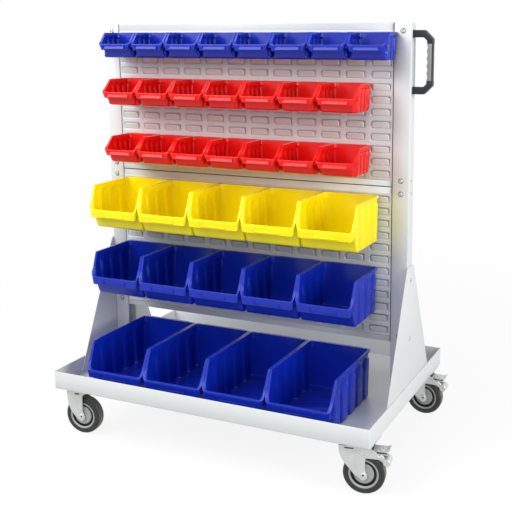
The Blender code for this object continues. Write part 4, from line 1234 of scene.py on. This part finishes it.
class CART_OT_casters(bpy.types.Operator):
    """Model the swivel casters with their plates, forks, wheels and brake pedals"""
    bl_idname = "bin_cart.casters"
    bl_label = "Swivel Casters"

    def execute(self, context):
        settings = context.scene.bin_cart.casters
        for corner in CORNERS:
            self.top_plate(corner)
            braked = corner.endswith("right")
            spot = self.swivel(corner)
            self.fork(corner, braked, spot, settings)
            self.wheel(corner, spot, settings)
            if braked:
                self.pedal(corner, spot)
        return {"FINISHED"}

    def swivel(self, corner):
        """The kingpin's place on the floor and the fork's turn at rest, from the joints."""
        joints = {joint["name"]: joint for joint in frame["joints"]}
        pin = Vector(joints["swivel_" + corner]["pos_m"])
        axle = Vector(joints["wheel_spin_" + corner]["pos_m"])
        turn = math.atan2(axle.y - pin.y, axle.x - pin.x)
        return Matrix.Translation((pin.x, pin.y, 0.0)) @ Matrix.Rotation(turn, 4, "Z")

    def top_plate(self, corner):
        """The mounting plate with its bolts, the two-part ball race and the kingpin."""
        node = "caster_plate_" + corner
        low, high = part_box(node)
        centre = (low + high) / 2
        under = high.z - CASTER_PLATE_SHEET
        bm = bmesh.new()
        outline = box_outline(low.xy, high.xy, CASTER_PLATE_CORNER, steps=4)
        plate(bm, [(x, y, under) for x, y in outline], (0.0, 0.0, CASTER_PLATE_SHEET))
        spot = Matrix.Translation((centre.x, centre.y, under))
        turned(bm, BALL_RACE, spot, RACE_STEPS)
        root, start = KINGPIN_ROOT
        nut = [(radius, low.z - under + rise) for radius, rise in KINGPIN_NUT]
        kingpin = [(0.0, start), (root, start), (root, nut[0][1]), *nut, (0.0, nut[-1][1])]
        turned(bm, kingpin, spot, BOLT_STEPS)
        for x in (low.x + CASTER_BOLT_INSET, high.x - CASTER_BOLT_INSET):
            for y in (low.y + CASTER_BOLT_INSET, high.y - CASTER_BOLT_INSET):
                turned(bm, CASTER_BOLT, Matrix.Translation((x, y, under)), HEXAGON)
        piece(node + "_pressed", mesh_of(bm, node), "cart", ["zinc"], [node])

    def fork(self, corner, braked, spot, settings):
        """Two pressed cheeks under a crown, with the axle bolt and, on a braked one, the pedal's pin."""
        node = "caster_fork_" + corner
        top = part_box(node)[1].z
        axle = (settings.trail, settings.wheel_radius)
        bm = bmesh.new()
        for way in (-1, 1):
            self.cheek(bm, way, braked, top, axle)
        rear = (-BRAKED_REAR if braked else -PLAIN_REAR) + WEB_INSET
        front = WEB_REACH if braked else PLAIN_FRONT
        reach = CHEEK_INNER + CHEEK_SHEET * WEB_SHARE
        web = box_outline((rear, -reach), (front, reach), SWAGE_CORNER, steps=2)
        plate(bm, [(x, y, top - CHEEK_SHEET) for x, y in web], (0.0, 0.0, CHEEK_SHEET - SET_IN), WEB_EDGE)
        pins = [(axle, AXLE_PIN)] + ([(PIVOT, PIVOT_PIN)] if braked else [])
        for place, radius in pins:
            pin = mirrored([(0.0, CHEEK_INNER), (radius, CHEEK_INNER)])
            turned(bm, pin, along_axle(*place), SCREW_STEPS)
        bmesh.ops.transform(bm, matrix=spot, verts=bm.verts)
        piece(node + "_pressed", mesh_of(bm, node), node, ["zinc", "shadow_gap"], [node])

    def cheek(self, bm, way, braked, top, axle):
        """One side of the fork, with its raised form, its slot drawn as a dark plate of painted shadow, and
        the ends of its pins.
        """
        swage = box_outline(*(BRAKED_SWAGE if braked else PLAIN_FLANGE), SWAGE_CORNER)
        relief = SWAGE_RELIEF if braked else FLANGE_RELIEF
        slot = box_outline(*(BRAKED_SLOT_SHADOW if braked else PLAIN_SLOT_SHADOW), SLOT_CORNER, steps=4)
        outer = CHEEK_INNER + CHEEK_SHEET
        side = fork_side(braked, top, *axle)
        side_plate(bm, side, way * CHEEK_INNER, way * CHEEK_SHEET, CHEEK_EDGE, segments=3)
        side_plate(bm, swage, way * (outer - SET_IN), way * (relief + SET_IN), SHEET_EDGE)
        # The slot is a thin dark plate of painted shadow, in the second finish
        side_plate(bm, slot, way * (outer - SET_IN), way * SLOT_SHADOW_SHEET, SLOT_EDGE, segments=1, index=1)
        self.axle_end(bm, along_axle(*axle, way * outer, way), HEXAGON if way > 0 else BOLT_STEPS)
        if braked:
            turned(bm, PIVOT_RIVET, along_axle(*PIVOT, way * outer, way), SCREW_STEPS)

    def axle_end(self, bm, place, head_steps):
        """A washer with the bolt's round head, or with its nut at the other end."""
        turned(bm, AXLE_WASHER, place, ROLLER_STEPS)
        turned(bm, AXLE_HEAD, place, head_steps)
        # A dark disc of painted shadow in the head's recess
        turned(bm, AXLE_SHADED_CENTRE, place, SCREW_STEPS, index=1)

    def wheel(self, corner, spot, settings):
        """The wheel with its tyre, turned one side at a time."""
        node = "caster_wheel_" + corner
        place = spot @ along_axle(settings.trail, settings.wheel_radius)
        bm = bmesh.new()
        for profile, finish in wheel_profiles(settings):
            other = [(radius, -height) for radius, height in reversed(profile)]
            for half in (profile, other):
                turned(bm, half, place, settings.segments, finish, solid=False)
        bmesh.ops.remove_doubles(bm, verts=bm.verts, dist=TINY)
        bmesh.ops.recalc_face_normals(bm, faces=bm.faces)
        piece(node + "_moulded", mesh_of(bm, node, WHEEL_CREASE), node,
              ["tyre_rubber", "wheel_plastic", "shadow_gap", "tread_rubber"], [node])

    def pedal(self, corner, spot):
        """A bent tread plate that returns below itself, two straps and the roller that meets the tyre."""
        node = "brake_pedal_" + corner
        skins = [self.pedal_skin(f"{node}_sheet_{number}", points, number == 0)
                 for number, points in enumerate((PEDAL_TOP, PEDAL_RETURN))]
        bm = bmesh.new()
        for skin in skins:
            take_in(bm, skin)
        low, high = RIDGE_HEIGHTS
        for x in RIDGES:
            rounded_block(bm, (x, -PEDAL_HALF * RIDGE_SHARE, low),
                          (x + RIDGE_WIDTH, PEDAL_HALF * RIDGE_SHARE, high), PLATE_EDGE)
        strap = self.strap_outline()
        for way in (-1, 1):
            side_plate(bm, strap, way * STRAP_Y, way * STRAP_SHEET, SHEET_EDGE)
        roller = [(radius, PEDAL_HALF - depth) for radius, depth in ROLLER_END]
        turned(bm, mirrored(roller), along_axle(*ROLLER), ROLLER_STEPS)
        sleeve = mirrored([(PIN_RADIUS, STRAP_Y), (PIVOT_RADIUS, STRAP_Y)])
        turned(bm, [*sleeve, sleeve[0]], along_axle(*PIVOT), SLEEVE_STEPS)
        bmesh.ops.transform(bm, matrix=spot, verts=bm.verts)
        piece(node + "_pressed", mesh_of(bm, node, PEDAL_CREASE), node, ["zinc"], [node])

    def pedal_skin(self, name, points, faces_up):
        """One bent sheet of the pedal, with its wall."""
        line = rounded(points, PEDAL_BEND, steps=4, closed=False)
        bm = bmesh.new()
        mapped_grid(bm, len(line) - 1, PEDAL_STEPS, lambda along, across: (
            line[along].x, PEDAL_HALF * (2 * across / PEDAL_STEPS - 1.0), line[along].y))
        bmesh.ops.recalc_face_normals(bm, faces=bm.faces)
        rise = sum(face.normal.z * face.calc_area() for face in bm.faces)
        if (rise < 0) == faces_up:
            bmesh.ops.reverse_faces(bm, faces=bm.faces)
        return with_wall(mesh_of(bm, name), PEDAL_SHEET, name)

    def strap_outline(self):
        """A rounded strap from the pin to the roller."""
        start, end = Vector(PIVOT), Vector(ROLLER)
        along = (end - start).normalized() * PIVOT_RADIUS
        across = Vector((-along.y, along.x))
        start, end = start - along, end + along
        corners = [start - across, end - across, end + across, start + across]
        return rounded(corners, PIVOT_RADIUS * STRAP_ROUND_SHARE, steps=6)


def screw_piece(name, bm):
    """Screws of one kind of place, with their rings of shadow."""
    piece(name, mesh_of(bm, name), "cart", ["screw_steel", "shadow_gap"])


class CART_OT_fasteners(bpy.types.Operator):
    """Set the screws and bolts that hold the sheets together"""
    bl_idname = "bin_cart.fasteners"
    bl_label = "Screws and Bolts"

    def execute(self, context):
        self.flange_screws()
        self.end_bolts()
        self.panel_hole(context.scene.bin_cart.sheet)
        return {"FINISHED"}

    def heights(self):
        """Screws stand near the panels' outer ends and on both sides of the seam between them."""
        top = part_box("panel_upper")[1].z
        foot, seam = (corner.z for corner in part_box("panel_lower"))
        return top - SCREW_FROM_TOP, seam + SCREW_FROM_SEAM, seam - SCREW_FROM_SEAM, foot + SCREW_FROM_FOOT

    def flange_screws(self):
        """The large screws down the uprights' front and rear flanges."""
        bm = bmesh.new()
        for node in ("upright_left", "upright_right"):
            low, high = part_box(node)
            x = (low.x + high.x) / 2
            for z in self.heights():
                pan_head(bm, (x, low.y, z), (0, -1, 0), *FLANGE_SCREW)
                pan_head(bm, (x, high.y, z), (0, 1, 0), *FLANGE_SCREW)
        screw_piece("flange_screws", bm)

    def end_bolts(self):
        """The small screws of the uprights' webs, and the bolts of the gussets and the tray's ends."""
        bm = bmesh.new()
        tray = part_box("base_tray")
        rim = tray[1].z
        for end, side, out in (("left", 0, -1), ("right", 1, 1)):
            web_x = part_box("upright_" + end)[side].x
            gusset_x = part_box("gusset_" + end)[side].x
            rim_x = tray[side].x - out * RIM_BOLT[1]
            places = [(web_x, 0.0, z, WEB_SCREW) for z in self.heights()[:3]]
            places += [(gusset_x, GUSSET_BOLT_Y, rim + rise, END_BOLT) for rise in GUSSET_BOLT_RISES]
            places += [(rim_x, y, rim - drop, RIM_BOLT) for y, drop in RIM_BOLTS]
            for x, y, z, head in places:
                pan_head(bm, (x, y, z), (out, 0, 0), *head)
        screw_piece("end_bolts", bm)

    def panel_hole(self, sheet):
        """The small round hole near the right-hand end of the lower panel, drawn as a thin dark disc of
        painted shadow.
        """
        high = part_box("panel_lower")[1]
        bm = bmesh.new()
        place = (high.x - HOLE_FROM_END, high.y - sheet.panel_sheet, high.z - HOLE_FROM_TOP)
        profile = [(HOLE_RADIUS * share, height) for share, height in HOLE_PROFILE]
        turned(bm, profile, facing(place, (0, -1, 0)), SLEEVE_STEPS)
        frame_piece("panel_hole", mesh_of(bm, "panel_hole"), finish="shadow_gap")


def combined(tree, operation, first, second):
    """Two values put together by a Math node."""
    node = tree.nodes.new("ShaderNodeMath")
    node.operation = operation
    tree.links.new(first, node.inputs[0])
    tree.links.new(second, node.inputs[1])
    return node.outputs["Value"]


def background_rays(tree):
    """One for the rays that show the white background: to the camera, in gloss or through glass."""
    rays = tree.nodes.new("ShaderNodeLightPath").outputs
    shown = combined(tree, "MAXIMUM", rays["Is Camera Ray"], rays["Is Glossy Ray"])
    return combined(tree, "MAXIMUM", shown, rays["Is Transmission Ray"])


def show_mixed(tree, share, first, second, output):
    """Sends a mix of two shaders to the output. The share is the second one's."""
    mix = tree.nodes.new("ShaderNodeMixShader")
    tree.links.new(share, mix.inputs["Fac"])
    tree.links.new(first, mix.inputs[1])
    tree.links.new(second, mix.inputs[2])
    tree.links.new(mix.outputs["Shader"], tree.nodes[output].inputs["Surface"])


class CART_OT_stage(bpy.types.Operator):
    """Set up the floor, the soft lamps, the world and the camera"""
    bl_idname = "bin_cart.stage"
    bl_label = "Stage"

    def execute(self, context):
        stage = context.scene.bin_cart.stage
        self.floor(stage)
        self.world(context.scene, stage)
        for name, place, target, size in LAMPS:
            self.lamp(name + "_lamp", place, target, size, getattr(stage, name))
        self.camera(context.scene, stage)
        context.scene.view_settings.view_transform = "Standard"
        return {"FINISHED"}

    def floor(self, stage):
        bm = bmesh.new()
        bmesh.ops.create_grid(bm, x_segments=2, y_segments=2, size=FLOOR_HALF)
        floor = bpy.data.objects.new("floor", mesh_of(bm, "floor"))
        bpy.context.scene.collection.objects.link(floor)
        floor.data.materials.append(self.floor_material(stage))

    def floor_material(self, stage):
        """A pale floor, nearly white to the camera, plain white far off, that keeps the cart's shadow."""
        material, tree, shader = node_material("floor_white")
        rays = tree.nodes.new("ShaderNodeLightPath")
        tree.links.new(spread(tree, rays.outputs["Is Camera Ray"], FLOOR_BOUNCE, FLOOR_SEEN, 0.0, 1.0),
                       shader.inputs["Base Color"])
        with_inputs(shader, {"Roughness": FLOOR_ROUGHNESS})
        away = tree.nodes.new("ShaderNodeVectorMath")
        away.operation = "LENGTH"
        tree.links.new(tree.nodes.new("ShaderNodeTexCoord").outputs["Object"], away.inputs[0])
        share = spread(tree, away.outputs["Value"], stage.floor_white, 1.0, *FLOOR_FADE)
        seen = combined(tree, "MULTIPLY", share, background_rays(tree))
        white = tree.nodes.new("ShaderNodeEmission")
        show_mixed(tree, seen, shader.outputs["BSDF"], white.outputs["Emission"], "Material Output")
        return material

    def world(self, scene, stage):
        """Even light on the cart, and a white background."""
        world = bpy.data.worlds.new("studio")
        scene.world = world
        world.use_nodes = True
        tree = world.node_tree
        room = with_inputs(tree.nodes["Background"], {"Color": WHITE, "Strength": stage.room})
        seen = with_inputs(tree.nodes.new("ShaderNodeBackground"), {"Color": WHITE, "Strength": 1.0})
        show_mixed(tree, background_rays(tree), room.outputs["Background"], seen.outputs["Background"],
                   "World Output")

    def lamp(self, name, place, target, size, power):
        data = bpy.data.lights.new(name, "AREA")
        data.shape = "SQUARE"
        data.size = size
        data.energy = power
        lamp = bpy.data.objects.new(name, data)
        bpy.context.scene.collection.objects.link(lamp)
        lamp.location = place
        lamp.rotation_euler = (Vector(target) - Vector(place)).to_track_quat("-Z", "Y").to_euler()

    def camera(self, scene, stage):
        """The photograph's camera, placed from the tray's right front corner."""
        data = bpy.data.cameras.new("camera")
        data.sensor_width = SENSOR_WIDTH
        data.lens = stage.lens
        data.shift_x, data.shift_y = stage.shift
        data.clip_end = CLIP_END
        camera = bpy.data.objects.new("camera", data)
        scene.collection.objects.link(camera)
        yaw, pitch, roll = (math.radians(angle) for angle in stage.angles)
        level = math.cos(pitch)
        forward = Vector((-math.sin(yaw) * level, math.cos(yaw) * level, -math.sin(pitch)))
        right = Vector((math.cos(yaw), math.sin(yaw), 0.0))
        up = right.cross(forward)
        turned_right = right * math.cos(roll) + up * math.sin(roll)
        turned_up = up * math.cos(roll) - right * math.sin(roll)
        basis = Matrix((turned_right, turned_up, -forward)).transposed().to_4x4()
        low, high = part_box("base_tray")
        camera.matrix_world = Matrix.Translation(Vector((high.x, low.y, 0.0)) + Vector(stage.place)) @ basis
        scene.camera = camera


class CartSettings(bpy.types.PropertyGroup):
    bins: PointerProperty(type=BinSettings)
    sheet: PointerProperty(type=SheetSettings)
    louvres: PointerProperty(type=LouvreSettings)
    handle: PointerProperty(type=HandleSettings)
    casters: PointerProperty(type=CasterSettings)
    stage: PointerProperty(type=StageSettings)


OPERATORS = (CART_OT_bins, CART_OT_panels, CART_OT_frame_sheets, CART_OT_handle, CART_OT_casters,
             CART_OT_fasteners, CART_OT_stage)


class CART_PT_sidebar(bpy.types.Panel):
    """Sizes, colours and pieces of the bin cart"""
    bl_idname = "CART_PT_sidebar"
    bl_label = "Bin Cart"
    bl_space_type = "VIEW_3D"
    bl_region_type = "UI"
    bl_category = "Bin Cart"

    def draw(self, context):
        layout = self.layout
        for operator in OPERATORS:
            layout.operator(operator.bl_idname)
        cart = context.scene.bin_cart
        for group in (cart.bins, cart.sheet, cart.louvres, cart.handle, cart.casters, cart.stage):
            box = layout.box()
            for name in group.bl_rna.properties.keys():
                if name not in ("rna_type", "name"):
                    box.prop(group, name)


CLASSES = (BinSettings, SheetSettings, LouvreSettings, HandleSettings, CasterSettings, StageSettings,
           CartSettings, *OPERATORS, CART_PT_sidebar)


def register():
    for cls in CLASSES:
        bpy.utils.register_class(cls)
    bpy.types.Scene.bin_cart = PointerProperty(type=CartSettings)


def unregister():
    del bpy.types.Scene.bin_cart
    for cls in reversed(CLASSES):
        bpy.utils.unregister_class(cls)


def main():
    register()
    for operator in OPERATORS:
        group, name = operator.bl_idname.split(".")
        getattr(getattr(bpy.ops, group), name)()


if __name__ == "__main__":
    main()
